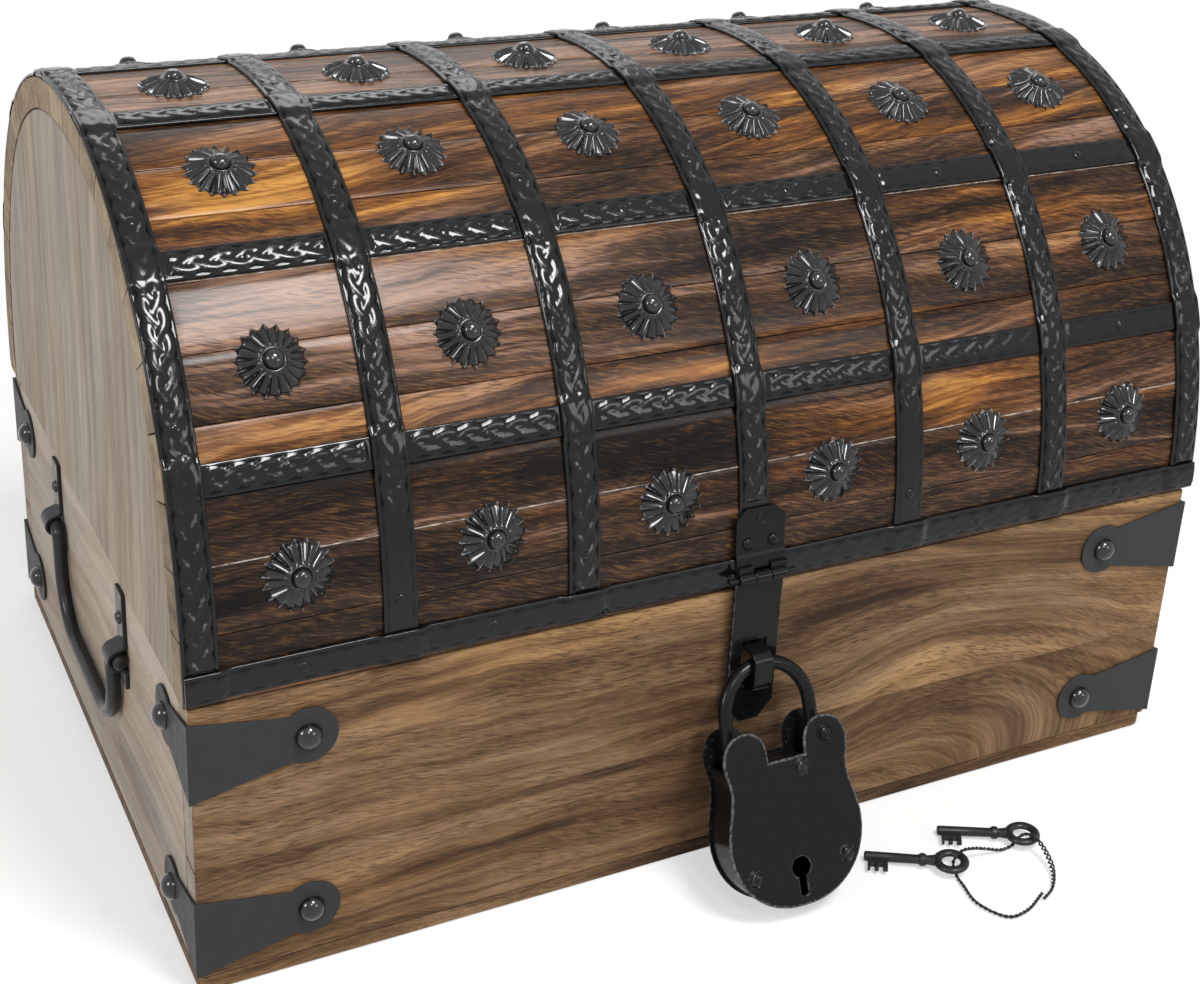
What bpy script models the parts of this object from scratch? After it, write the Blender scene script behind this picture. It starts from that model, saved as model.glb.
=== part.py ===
"""A domed wooden treasure chest with iron straps, flower studs, two bail handles, a hasp, a padlock and keys.

The frame: X runs along the chest's width, the front faces -Y, Z is up, and the origin is the centre of the
underside. Lengths are in metres, written as a number of millimetres times MM.
"""

import math

import bmesh
import bpy
from mathutils import Matrix, Vector

MM = 0.001

# Clearances
GAP = 0.3 * MM  # air between two pieces that touch
LID_SEAM = 0.45 * MM  # the dark line between base and lid
OVERRUN = 2 * MM  # how far a cutter passes the face that it cuts
SINK = 0.4 * MM  # how deep a joined detail is sunk into its carrier

# Base
BASE_WIDTH = 430 * MM
DEPTH = 296 * MM
BASE_HEIGHT = 119 * MM
WALL = 12 * MM
BOTTOM_BOARD = 6 * MM
BOTTOM_CORNER_RADIUS = 5 * MM

# Lid: a superellipse in section
LID_OVERHANG = 1.5 * MM
LID_WIDTH = BASE_WIDTH + 2 * LID_OVERHANG
LID_RISE = 170 * MM
STAVE = 12 * MM
CROWN_EXPONENT = 2.15
CROWN_STEPS = 4000
SEGMENTS_BETWEEN_STRIPS = 5

# Embossed sheet on the lid
SHEET = 1.0 * MM
STRAP_WIDTH = 12.5 * MM
STRAP_COUNT = 7
STRIP_WIDTH = 11.2 * MM
STRAP_RAMP = 3 * MM
STRAP_END_LIFT = 3.2 * MM  # how far above the lid's lower edge the straps end
# Centre lines of the four front strips, as shares of the arc from the front seam to the crown
STRIP_ARC_SHARES = (0.030, 0.308, 0.593, 0.872)

# Flower studs
STUD_RADIUS = 13.0 * MM
STUD_VALLEY_RADIUS = 11.4 * MM
STUD_PETALS = 12
STUD_HEIGHT = 4.0 * MM
STUD_NAIL_RADIUS = 3.8 * MM
STUD_NAIL_HEIGHT = 3.0 * MM
STUD_CREST_SHARES = (0.7, 0.75)  # upper ring of the nail head, of its radius and height
# Stud rows on the front half and the top one, as shares of the same arc
STUD_ARC_SHARES = (0.163, 0.447, 0.740, 0.978)

# Corner brackets
BRACKET_SHEET = 0.9 * MM
BRACKET_CORNER_HEIGHT = 32 * MM
BRACKET_END_RADIUS = 11 * MM
BRACKET_FRONT_REACH = 41 * MM  # corner to nail, along the front
BRACKET_SIDE_REACH = 30 * MM  # corner to nail, along the side
BRACKET_NAIL_DROP = 14.5 * MM  # nail below the bracket's upper edge
BRACKET_ARC_STEPS = 8
BRACKET_ARC_START = math.radians(128)
BRACKET_ARC_END = math.radians(-122)
TOP_BRACKET_DROP = 5.5 * MM  # upper edge below the top of the base
BOTTOM_BRACKET_LIFT = 8 * MM  # lower edge above the underside
NAIL_RADIUS = 5 * MM
NAIL_HEIGHT = 4.2 * MM
# Two rings that round a nail head off, as shares of its radius and height
DOME_SHARES = ((0.8, 0.55), (0.4, 0.92))

# Handles
BAIL_RADIUS = 2.9 * MM
BAIL_WALL_GAP = 0.5 * MM
BAIL_HALF_SPAN = 56 * MM  # bracket centre from the chest's middle
BAIL_AXIS_HEIGHT = BASE_HEIGHT - 32 * MM
BAIL_DROP = 41 * MM
BAIL_ELBOW_RADIUS = 4 * MM
BAIL_CORNER_RADIUS = 24 * MM
BAIL_TIP = 2.5 * MM  # bail end beyond its bracket
BAIL_ARC_STEPS = 6
LUG_WIDTH = 10 * MM
LUG_SHEET = 1.4 * MM
LUG_TOP = BASE_HEIGHT - 4 * MM
LUG_FOOT = BAIL_AXIS_HEIGHT - 13 * MM
LUG_CLEARANCE = 0.35 * MM
LUG_ARC_STEPS = 8
LUG_NAIL_RADIUS = 2.6 * MM
LUG_NAIL_HEIGHT = 1.8 * MM

# Hinges in general
PIN_RADIUS = 1.1 * MM
PIN_CLEARANCE = 0.25 * MM
BARREL_RADIUS = 2.4 * MM
LEAF = 1.2 * MM
RIVET_RADIUS = 2.4 * MM
RIVET_HEIGHT = 1.6 * MM
ROUND_SIDES = 12

# Rear hinges
REAR_HINGE_WIDTH = 26 * MM
REAR_LEAF_LENGTH = 24 * MM
REAR_PIN_HEAD = 1.2 * MM
REAR_AXIS_OFFSET = 4.4 * MM

# Hasp
HASP_X = 2 * MM
HASP_WIDTH = 21 * MM
HASP_AXIS_HEIGHT = BASE_HEIGHT + 7 * MM
HASP_AXIS_OFFSET = 5.4 * MM
HASP_LENGTH = 65 * MM
HASP_PLATE_OFFSET = 2.95 * MM
HASP_TIP_CLIP = 6 * MM
HASP_TIP_CLIP_HEIGHT = 7.4 * MM
HASP_PIN_OVERHANG = 4 * MM
HASP_LEAF_TOP_ARC = 33 * MM
HASP_LEAF_CLIP = 4 * MM
HASP_RIVET_ARC = 19.5 * MM
HASP_RIVET_SPACING = 11 * MM

# Staple
STAPLE_WIDTH = 8 * MM
STAPLE_SHEET = 1.6 * MM
STAPLE_REACH = 12.9 * MM
STAPLE_HEIGHT = 17 * MM
STAPLE_CENTRE_HEIGHT = BASE_HEIGHT - 32.5 * MM
STAPLE_BEND = 5 * MM
STAPLE_BEND_STEPS = 3
SLOT_SIDE_GAP = 1.2 * MM
SLOT_ABOVE = 2.2 * MM
SLOT_BELOW = 2.4 * MM

# Padlock: a case of two plates and a band, leaning out from the staple to the floor
LOCK_X = 4.5 * MM
LOCK_LEAN = math.radians(24)
BAR_RADIUS = 2.75 * MM
BAR_OFFSET = 7.3 * MM  # bar centre from the chest's front
BAR_HEIGHT = STAPLE_CENTRE_HEIGHT + 2.1 * MM
ARCH_RADIUS = 18.5 * MM
CASE_TOP = 23 * MM  # ear tops below the bar's centre
CASE_BOTTOM = 92.7 * MM
CASE_HALF_WIDTH = 29.2 * MM
CASE_DEPTH = 17.5 * MM
CASE_PLATE = 1.2 * MM
BAND_SHEET = 1.6 * MM
BAND_INSET = 1 * MM
PIVOT_X = 17.6 * MM
PIVOT_DROP = 30 * MM
EYE_RADIUS = 4.4 * MM
PIVOT_RADIUS = 1.5 * MM
LEG_END_DROP = 41 * MM
SHACKLE_ARC_STEPS = 12
SHACKLE_SIDES = 10
KEYHOLE_DROP = 78 * MM
KEYHOLE_RADIUS = 4 * MM
KEYHOLE_SLOT_WIDTH = 3.2 * MM
KEYHOLE_SLOT_LENGTH = 11 * MM
# Rivets of the case: (share of the half width, drop below the bar)
CASE_RIVETS = ((0.20, 40.5 * MM), (0.70, 77.5 * MM), (-0.70, 77.5 * MM))
# Right half of the case's outline from the notch to the bottom: shares of the half width and of the height
CASE_OUTLINE_SHARES = (
    (0.274, 0.187),
    (0.280, 0.115),
    (0.335, 0.052),
    (0.450, 0.010),
    (0.603, 0.000),
    (0.755, 0.015),
    (0.870, 0.062),
    (0.925, 0.130),
    (0.915, 0.200),
    (0.872, 0.285),
    (0.890, 0.370),
    (0.945, 0.460),
    (0.990, 0.545),
    (1.000, 0.610),
    (0.975, 0.700),
    (0.885, 0.800),
    (0.735, 0.885),
    (0.520, 0.952),
    (0.265, 0.990),
)
BAND_SKIP_COUNT = 8  # the band starts below the ears, so that the shackle can swing out

# Bolt of the padlock, in the left ear
NOTCH_DEPTH = 1.0 * MM
BOLT_DROP = 29.5 * MM
BOLT_HEIGHT = 2.5 * MM
BOLT_LENGTH = 3.6 * MM
BOLT_THICKNESS = 6 * MM
BOLT_TIP_GAP = 0.2 * MM
BOLT_TRAVEL = 3.2 * MM
HOOK_GAP = 6.8 * MM  # hook of the leg below the bolt
GUIDE_SHEET = 1.2 * MM
SPRING_WIRE_RADIUS = 0.3 * MM
SPRING_RADIUS = 1.0 * MM
SPRING_TURNS = 3
SPRING_POINTS_PER_TURN = 8

# Keys and their wire
KEY_BOW_RADIUS = 5.7 * MM
KEY_BOW_WIRE = 1.5 * MM
KEY_LENGTH = 34.5 * MM  # bow's centre to tip
KEY_SHAFT_RADIUS = 1.8 * MM
KEY_COLLAR_RADIUS = 2.8 * MM
KEY_COLLAR_WIDTH = 1.6 * MM
KEY_COLLAR_PLACE = 10.5 * MM
KEY_BIT_LENGTH = 8 * MM
KEY_BIT_REACH = 8 * MM
KEY_BIT_SHEET = 2 * MM
KEY_BIT_FROM_TIP = 1.5 * MM
KEY_CUT_WIDTH = 1.6 * MM
KEY_CUT_DEPTH = 2.6 * MM
KEY_BOW_LIFT = 4.0 * MM
KEY_FLOOR_GAP = 0.25 * MM
KEY_RING_STEPS = 16
WIRE_RADIUS = 0.75 * MM
KEYS_X = 74 * MM  # bow of the first key
KEYS_AHEAD = 50 * MM  # the same bow, ahead of the chest's front
KEY_SPACING_X = 37.5 * MM  # from the first bow to the second
KEY_SPACING_Y = 3 * MM
KEY_HEADINGS = (math.radians(146.8), math.radians(149.2))
# Route of the wire from the first bow: under each bow on one side, up through it and over the other side
WIRE_ROUTE = (
    (24.5 * MM, -27.2 * MM, 1.1 * MM),
    (13 * MM, -33 * MM, 1.1 * MM),
    (3 * MM, -33 * MM, 1.1 * MM),
    (-3 * MM, -22 * MM, 1.1 * MM),
    (-1.8 * MM, -11 * MM, 1.1 * MM),
    (-0.8 * MM, -5.4 * MM, 1.1 * MM),
    (0.6 * MM, -0.6 * MM, 3.8 * MM),
    (5.4 * MM, 1 * MM, 6.7 * MM),
    (12 * MM, 1.6 * MM, 5.6 * MM),
    (19 * MM, 1.2 * MM, 3.4 * MM),
    (25.5 * MM, 0.8 * MM, 1.3 * MM),
    (31.8 * MM, 1.6 * MM, 1.1 * MM),
    (36.8 * MM, 2.4 * MM, 3.8 * MM),
    (38.2 * MM, -2.8 * MM, 6.7 * MM),
    (38.4 * MM, -10 * MM, 5.2 * MM),
    (36.6 * MM, -18 * MM, 2.2 * MM),
    (30.5 * MM, -26 * MM, 1.1 * MM),
    (23 * MM, -30.2 * MM, 1.1 * MM),
)
WIRE_STEPS = 2

X_AXIS = Vector((1, 0, 0))
Y_AXIS = Vector((0, 1, 0))
Z_AXIS = Vector((0, 0, 1))


# Materials


def make_material(name, colour, roughness, metallic=0.0):
    material = bpy.data.materials.new(name)
    material.use_nodes = True
    shader = material.node_tree.nodes["Principled BSDF"]
    shader.inputs["Base Color"].default_value = (*colour, 1)
    shader.inputs["Roughness"].default_value = roughness
    shader.inputs["Metallic"].default_value = metallic
    return material


def make_materials():
    return {
        "base_wood": make_material("base_wood", (0.21, 0.115, 0.06), 0.5),
        "lid_wood": make_material("lid_wood", (0.17, 0.08, 0.035), 0.45),
        "end_wood": make_material("end_wood", (0.33, 0.23, 0.17), 0.55),
        "black_sheet": make_material("black_sheet", (0.02, 0.021, 0.024), 0.28, 0.7),
        "grey_sheet": make_material("grey_sheet", (0.05, 0.053, 0.055), 0.45, 0.8),
        "handle_iron": make_material("handle_iron", (0.06, 0.06, 0.058), 0.4, 0.85),
        "lock_steel": make_material("lock_steel", (0.016, 0.017, 0.017), 0.42, 0.6),
        "key_steel": make_material("key_steel", (0.045, 0.045, 0.043), 0.35, 0.9),
    }


# Solids


def prism(outline, along):
    """A flat outline of points carried along a vector, as a closed mesh."""
    solid = bmesh.new()
    near = [solid.verts.new(point) for point in outline]
    far = [solid.verts.new(point + along) for point in outline]
    solid.faces.new(near)
    solid.faces.new(far[::-1])
    count = len(outline)
    for i in range(count):
        j = (i + 1) % count
        solid.faces.new((near[j], near[i], far[i], far[j]))
    bmesh.ops.recalc_face_normals(solid, faces=solid.faces)
    return solid


def box(low, high):
    outline = [
        Vector((low[0], low[1], low[2])),
        Vector((high[0], low[1], low[2])),
        Vector((high[0], high[1], low[2])),
        Vector((low[0], high[1], low[2])),
    ]
    return prism(outline, Z_AXIS * (high[2] - low[2]))


def circle(centre, across, up, radius, sides):
    turns = [2 * math.pi * i / sides for i in range(sides)]
    return [centre + radius * (math.cos(a) * across + math.sin(a) * up) for a in turns]


def rod(start, end, radius, sides=ROUND_SIDES):
    """A round rod between two points."""
    along = end - start
    across = along.orthogonal().normalized()
    up = along.normalized().cross(across)
    return prism(circle(start, across, up, radius, sides), along)


def dome(seat, outward, radius, height, sides=8):
    """A round nail head on a surface, sunk a little into it."""
    across = outward.orthogonal().normalized()
    up = outward.cross(across)
    solid = bmesh.new()
    rings = []
    levels = [(radius, -SINK), (radius, 0)]
    levels += [(radius * wide, height * high) for wide, high in DOME_SHARES]
    for size, lift in levels:
        ring = circle(seat + outward * lift, across, up, size, sides)
        rings.append([solid.verts.new(point) for point in ring])
    solid.faces.new(rings[0])
    solid.faces.new(rings[-1])
    skin_between(solid, rings, closed=True)
    bmesh.ops.recalc_face_normals(solid, faces=solid.faces)
    return solid


def skin_between(solid, rings, closed):
    """Quads between rings of equal length."""
    for low, high in zip(rings, rings[1:]):
        count = len(low)
        for i in range(count if closed else count - 1):
            j = (i + 1) % count
            solid.faces.new((low[i], low[j], high[j], high[i]))


def tube(path, radius, sides):
    """A round bar along a path of points."""
    solid = bmesh.new()
    rings = []
    across = (path[1] - path[0]).orthogonal().normalized()
    for i, point in enumerate(path):
        before = path[max(i - 1, 0)]
        after = path[min(i + 1, len(path) - 1)]
        along = (after - before).normalized()
        across = (across - along * across.dot(along)).normalized()
        ring = circle(point, across, along.cross(across), radius, sides)
        rings.append([solid.verts.new(corner) for corner in ring])
    solid.faces.new(rings[0])
    solid.faces.new(rings[-1])
    skin_between(solid, rings, closed=True)
    bmesh.ops.recalc_face_normals(solid, faces=solid.faces)
    return solid


def offset_path(points, across, distance):
    """The path moved sideways, with mitred corners; the side is the travel direction times across."""
    moved = []
    for i, point in enumerate(points):
        sides = []
        if i > 0:
            sides.append((point - points[i - 1]).normalized().cross(across))
        if i < len(points) - 1:
            sides.append((points[i + 1] - point).normalized().cross(across))
        side = sum(sides, Vector()).normalized()
        moved.append(point + side * (distance / side.dot(sides[0])))
    return moved


def bent_sheet(path, across, thickness, width):
    """Sheet bent along a path in the plane square to across; the other face is offset by the thickness."""
    outer = offset_path(path, across, thickness)
    outline = [point - across * (width / 2) for point in path + outer[::-1]]
    return prism(outline, across * width)


def merged(*solids):
    """Several closed meshes that don't touch, as one."""
    whole = bmesh.new()
    for solid in solids:
        mesh = bpy.data.meshes.new("piece")
        solid.to_mesh(mesh)
        whole.from_mesh(mesh)
        bpy.data.meshes.remove(mesh)
        solid.free()
    return whole


# Objects


def add_empty(name, place, parent=None, lean=0.0):
    empty = bpy.data.objects.new(name, None)
    empty.location = place
    empty.rotation_euler = (lean, 0, 0)
    empty.parent = parent
    bpy.context.scene.collection.objects.link(empty)
    return empty


def add_object(name, solid, material=None, parent=None, undo=None):
    """Links a mesh as an object; undo is the matrix that keeps its points where they are under its parent."""
    mesh = bpy.data.meshes.new(name)
    solid.to_mesh(mesh)
    solid.free()
    obj = bpy.data.objects.new(name, mesh)
    if material:
        mesh.materials.append(material)
    obj.parent = parent
    if undo:
        obj.matrix_parent_inverse = undo
    bpy.context.scene.collection.objects.link(obj)
    return obj


def change(obj, solid, operation):
    """Joins a solid to an object or cuts it away, with a hidden helper and a Boolean modifier."""
    helper = add_object(f"{obj.name}_{operation.lower()}_{len(obj.modifiers)}", solid, None, obj.parent)
    helper.matrix_parent_inverse = obj.matrix_parent_inverse
    helper.hide_render = True
    helper.display_type = "WIRE"
    helper.hide_set(True)
    modifier = obj.modifiers.new(f"{operation} {len(obj.modifiers)}", "BOOLEAN")
    modifier.operation = operation
    modifier.solver = "EXACT"
    modifier.object = helper
    return obj


def smooth(obj):
    obj.data.shade_smooth()
    obj.data.set_sharp_from_angle(angle=math.radians(35))
    return obj


# The lid's curve


class Crown:
    """The outer curve of the lid in section, walked by arc length from the front seam over to the back."""

    def __init__(self):
        power = 2 / CROWN_EXPONENT
        seat = BASE_HEIGHT + LID_SEAM
        self.points = []
        for i in range(CROWN_STEPS + 1):
            turn = math.pi * i / CROWN_STEPS
            across = math.copysign(abs(math.cos(turn)) ** power, math.cos(turn))
            up = max(math.sin(turn), 0) ** power
            self.points.append(Vector((0, -DEPTH / 2 * across, seat + LID_RISE * up)))
        self.arcs = [0.0]
        for before, after in zip(self.points, self.points[1:]):
            self.arcs.append(self.arcs[-1] + (after - before).length)
        self.length = self.arcs[-1]

    def frame(self, arc):
        """Point, direction of travel and outward direction at an arc length."""
        low, high = 0, CROWN_STEPS
        while high - low > 1:
            middle = (low + high) // 2
            if self.arcs[middle] <= arc:
                low = middle
            else:
                high = middle
        step = self.points[high] - self.points[low]
        share = (arc - self.arcs[low]) / step.length
        along = step.normalized()
        return self.points[low] + step * share, along, X_AXIS.cross(along)

    def at(self, arc, lift=0.0):
        point, _, outward = self.frame(arc)
        return point + outward * lift


def strip_arcs(crown):
    half = crown.length / 2
    front = [share * half for share in STRIP_ARC_SHARES]
    return front + [crown.length - arc for arc in front[::-1]]


def stud_arcs(crown):
    half = crown.length / 2
    front = [share * half for share in STUD_ARC_SHARES[:3]]
    return [*front, STUD_ARC_SHARES[3] * half, *[crown.length - arc for arc in front[::-1]]]


def strap_places():
    first = LID_WIDTH / 2 - STRAP_WIDTH / 2
    return [-first + 2 * first * i / (STRAP_COUNT - 1) for i in range(STRAP_COUNT)]


def steps_between(start, end, count):
    return [start + (end - start) * i / count for i in range(count + 1)]


# Base


def build_base(materials):
    half_x, half_y = BASE_WIDTH / 2, DEPTH / 2
    foot = BOTTOM_BOARD + GAP
    inner_y = half_y - WALL
    wood, end = materials["base_wood"], materials["end_wood"]
    add_object("base_front", box((-half_x, -half_y, foot), (half_x, -inner_y, BASE_HEIGHT)), wood)
    add_object("base_back", box((-half_x, inner_y, foot), (half_x, half_y, BASE_HEIGHT)), wood)
    for name, side in (("left", -1), ("right", 1)):
        near, far = sorted((side * half_x, side * (half_x - WALL)))
        low = (near, GAP - inner_y, foot)
        high = (far, inner_y - GAP, BASE_HEIGHT)
        add_object(f"base_{name}", box(low, high), end)
    add_object("base_bottom", bottom_board(half_x, half_y), wood)


def bottom_board(half_x, half_y):
    outline = []
    for i in range(4):
        turn = math.pi / 2 * i
        side_x = 1 if i in (0, 3) else -1
        side_y = 1 if i in (0, 1) else -1
        centre_x = side_x * (half_x - BOTTOM_CORNER_RADIUS)
        centre = Vector((centre_x, side_y * (half_y - BOTTOM_CORNER_RADIUS), 0))
        for a in steps_between(turn, turn + math.pi / 2, 4):
            outline.append(centre + BOTTOM_CORNER_RADIUS * Vector((math.cos(a), math.sin(a), 0)))
    return prism(outline, Z_AXIS * BOTTOM_BOARD)


def bracket_arm(reach, low, high):
    """Outline of one arm from the corner's upper end to its lower end: (distance from corner, height)."""
    nail = high - BRACKET_NAIL_DROP
    arm = [(0, high)]
    for a in steps_between(BRACKET_ARC_START, BRACKET_ARC_END, BRACKET_ARC_STEPS):
        arm.append((reach + BRACKET_END_RADIUS * math.cos(a), nail + BRACKET_END_RADIUS * math.sin(a)))
    arm.append((0, low))
    return arm


def corner_bracket(side_x, side_y, low, high):
    """One bent bracket with its two nails: the arms meet along the fold at the corner."""
    half_x, half_y = BASE_WIDTH / 2, DEPTH / 2
    solid = bmesh.new()
    layers = []
    for lift in (GAP, GAP + BRACKET_SHEET):
        def on_front(reach, height):
            return Vector((side_x * (half_x - reach), side_y * (half_y + lift), height))

        def on_side(reach, height):
            return Vector((side_x * (half_x + lift), side_y * (half_y - reach), height))

        fold_x, fold_y = side_x * (half_x + lift), side_y * (half_y + lift)
        fold = [Vector((fold_x, fold_y, height)) for height in (high, low)]
        front = [on_front(*place) for place in bracket_arm(BRACKET_FRONT_REACH, low, high)[1:-1]]
        side = [on_side(*place) for place in bracket_arm(BRACKET_SIDE_REACH, low, high)[1:-1]]
        fold = [solid.verts.new(point) for point in fold]
        front = [solid.verts.new(point) for point in front]
        side = [solid.verts.new(point) for point in side]
        solid.faces.new([fold[0], *front, fold[1]])
        solid.faces.new([fold[0], *side, fold[1]])
        layers.append([fold[0], *front, fold[1], *side[::-1]])
    skin_between(solid, layers, closed=True)
    bmesh.ops.recalc_face_normals(solid, faces=solid.faces)
    surface = GAP + BRACKET_SHEET
    nail = high - BRACKET_NAIL_DROP
    front_seat = Vector((side_x * (half_x - BRACKET_FRONT_REACH), side_y * (half_y + surface), nail))
    side_seat = Vector((side_x * (half_x + surface), side_y * (half_y - BRACKET_SIDE_REACH), nail))
    nails = merged(
        dome(front_seat, side_y * Y_AXIS, NAIL_RADIUS, NAIL_HEIGHT),
        dome(side_seat, side_x * X_AXIS, NAIL_RADIUS, NAIL_HEIGHT),
    )
    return solid, nails


def build_corner_brackets(materials):
    top = (BASE_HEIGHT - TOP_BRACKET_DROP - BRACKET_CORNER_HEIGHT, BASE_HEIGHT - TOP_BRACKET_DROP)
    bottom = (BOTTOM_BRACKET_LIFT, BOTTOM_BRACKET_LIFT + BRACKET_CORNER_HEIGHT)
    for depth_name, side_y in (("front", -1), ("back", 1)):
        for side_name, side_x in (("left", -1), ("right", 1)):
            for level_name, (low, high) in (("top", top), ("bottom", bottom)):
                solid, nails = corner_bracket(side_x, side_y, low, high)
                name = f"bracket_{depth_name}_{side_name}_{level_name}"
                obj = add_object(name, solid, materials["grey_sheet"])
                change(obj, nails, "UNION")


def build_staple(materials):
    face = -DEPTH / 2
    top = STAPLE_CENTRE_HEIGHT + STAPLE_HEIGHT / 2
    bottom = STAPLE_CENTRE_HEIGHT - STAPLE_HEIGHT / 2
    tip = face - STAPLE_REACH
    path = [Vector((HASP_X, face - GAP, top))]
    quarter = math.pi / 2
    for centre_z, start in ((top - STAPLE_BEND, quarter), (bottom + STAPLE_BEND, math.pi)):
        for a in steps_between(start, start + quarter, STAPLE_BEND_STEPS):
            y = tip + STAPLE_BEND + STAPLE_BEND * math.cos(a)
            path.append(Vector((HASP_X, y, centre_z + STAPLE_BEND * math.sin(a))))
    path.append(Vector((HASP_X, face - GAP, bottom)))
    add_object("hasp_staple", bent_sheet(path, X_AXIS, -STAPLE_SHEET, STAPLE_WIDTH), materials["lock_steel"])


# Handles


def bail_axis(side):
    return Vector((side * (BASE_WIDTH / 2 + BAIL_WALL_GAP + BAIL_RADIUS), 0, BAIL_AXIS_HEIGHT))


def bail_path():
    """Half of the bail from tip to the middle of the grip, in its own plane: (along Y, below the axis)."""
    leg = BAIL_HALF_SPAN - LUG_WIDTH / 2 - GAP - BAIL_ELBOW_RADIUS
    tip = BAIL_HALF_SPAN + LUG_WIDTH / 2 + BAIL_TIP
    path = [(tip, 0)]
    for a in steps_between(math.pi / 2, math.pi, BAIL_ARC_STEPS // 2):
        path.append((leg + BAIL_ELBOW_RADIUS * (1 + math.cos(a)), BAIL_ELBOW_RADIUS * (1 - math.sin(a))))
    for a in steps_between(0, math.pi / 2, BAIL_ARC_STEPS):
        along = leg - BAIL_CORNER_RADIUS * (1 - math.cos(a))
        path.append((along, BAIL_DROP - BAIL_CORNER_RADIUS * (1 - math.sin(a))))
    return path


def handle_lug(side, place_y):
    """Strip bent over the bail's end: flat at the top and the foot, round over the bar between."""
    wall = side * (BASE_WIDTH / 2 + GAP)
    axis = bail_axis(side)
    inner = BAIL_RADIUS + LUG_CLEARANCE
    path = [Vector((wall, place_y, LUG_FOOT))]
    for a in steps_between(-math.pi / 2, math.pi / 2, LUG_ARC_STEPS):
        out = axis.x + side * inner * math.cos(a)
        path.append(Vector((out, place_y, axis.z + inner * math.sin(a))))
    path.insert(1, Vector((wall, place_y, axis.z - inner - LUG_SHEET)))
    path.append(Vector((wall, place_y, axis.z + inner + LUG_SHEET)))
    path.append(Vector((wall, place_y, LUG_TOP)))
    if side > 0:
        path = path[::-1]
    return bent_sheet(path, Y_AXIS, LUG_SHEET, LUG_WIDTH)


def build_handles(materials):
    iron = materials["handle_iron"]
    for name, side in (("left", -1), ("right", 1)):
        axis = bail_axis(side)
        for end_name, end in (("front", -1), ("back", 1)):
            place_y = end * BAIL_HALF_SPAN
            lug = add_object(f"handle_lug_{name}_{end_name}", handle_lug(side, place_y), iron)
            seat_x = side * (BASE_WIDTH / 2 + GAP + LUG_SHEET)
            nail_z = (LUG_TOP + axis.z + BAIL_RADIUS + LUG_SHEET) / 2
            seat = Vector((seat_x, place_y, nail_z))
            change(lug, dome(seat, side * X_AXIS, LUG_NAIL_RADIUS, LUG_NAIL_HEIGHT), "UNION")
        half = bail_path()
        path = [Vector((0, y, -drop)) for y, drop in half]
        path += [Vector((0, -y, -drop)) for y, drop in half[::-1]]
        pivot = add_empty(f"handle_{name}_axis", axis)
        smooth(add_object(f"handle_{name}", tube(path, BAIL_RADIUS, 8), iron, pivot))


# Lid


def rear_axis():
    return Vector((0, DEPTH / 2 + REAR_AXIS_OFFSET, BASE_HEIGHT + LID_SEAM / 2))


def flower_stud(crown, place_x, arc):
    """A star-edged cone with a nail head, its rim just below the wood's surface."""
    seat, along, outward = crown.frame(arc)
    seat = seat + X_AXIS * place_x
    solid = bmesh.new()
    rim = []
    shoulder = []
    crest = []
    for i in range(2 * STUD_PETALS):
        a = math.pi * i / STUD_PETALS
        direction = math.cos(a) * X_AXIS + math.sin(a) * along
        radius = STUD_VALLEY_RADIUS if i % 2 else STUD_RADIUS
        bend = (radius * math.sin(a)) ** 2 / DEPTH
        rim.append(solid.verts.new(seat + direction * radius - outward * (SINK + bend)))
        if i % 2 == 0:
            shoulder.append(solid.verts.new(seat + direction * STUD_NAIL_RADIUS + outward * STUD_HEIGHT))
            crest_radius = STUD_NAIL_RADIUS * STUD_CREST_SHARES[0]
            crest_lift = STUD_HEIGHT + STUD_NAIL_HEIGHT * STUD_CREST_SHARES[1]
            crest.append(solid.verts.new(seat + direction * crest_radius + outward * crest_lift))
    top = solid.verts.new(seat + outward * (STUD_HEIGHT + STUD_NAIL_HEIGHT))
    solid.faces.new(rim)
    for i in range(STUD_PETALS):
        j = (i + 1) % STUD_PETALS
        tip, valley, next_tip = rim[2 * i], rim[2 * i + 1], rim[(2 * i + 2) % len(rim)]
        solid.faces.new((tip, valley, shoulder[i]))
        solid.faces.new((valley, shoulder[j], shoulder[i]))
        solid.faces.new((valley, next_tip, shoulder[j]))
        solid.faces.new((shoulder[i], shoulder[j], crest[j], crest[i]))
        solid.faces.new((crest[i], crest[j], top))
    bmesh.ops.recalc_face_normals(solid, faces=solid.faces)
    return solid


def stud_places():
    straps = strap_places()
    return [(a + b) / 2 for a, b in zip(straps, straps[1:])]


def build_lid_panels(crown, materials, hinge):
    """Seven edge-glued panels of staves: each spans two strip lines and carries its row of studs."""
    strips = strip_arcs(crown)
    edges = [0.0, *strips[1:-1], crown.length]
    half_x = LID_WIDTH / 2
    for row, stud_arc in enumerate(stud_arcs(crown)):
        start = edges[row] + (GAP / 2 if row else 0)
        end = edges[row + 1] - (GAP / 2 if row < len(edges) - 2 else 0)
        arcs = steps_between(start, end, SEGMENTS_BETWEEN_STRIPS)
        outline = [crown.at(arc) for arc in arcs] + [crown.at(arc, -STAVE) for arc in arcs[::-1]]
        solid = prism([point - X_AXIS * half_x for point in outline], X_AXIS * LID_WIDTH)
        obj = add_object(f"lid_panel_{row + 1}", solid, materials["lid_wood"], hinge, hang(hinge))
        studs = [flower_stud(crown, place_x, stud_arc) for place_x in stud_places()]
        change(obj, merged(*studs), "UNION")


def hang(empty):
    """Keeps points that are written in world coordinates where they are under an unturned empty."""
    return Matrix.Translation(-empty.location)


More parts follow.
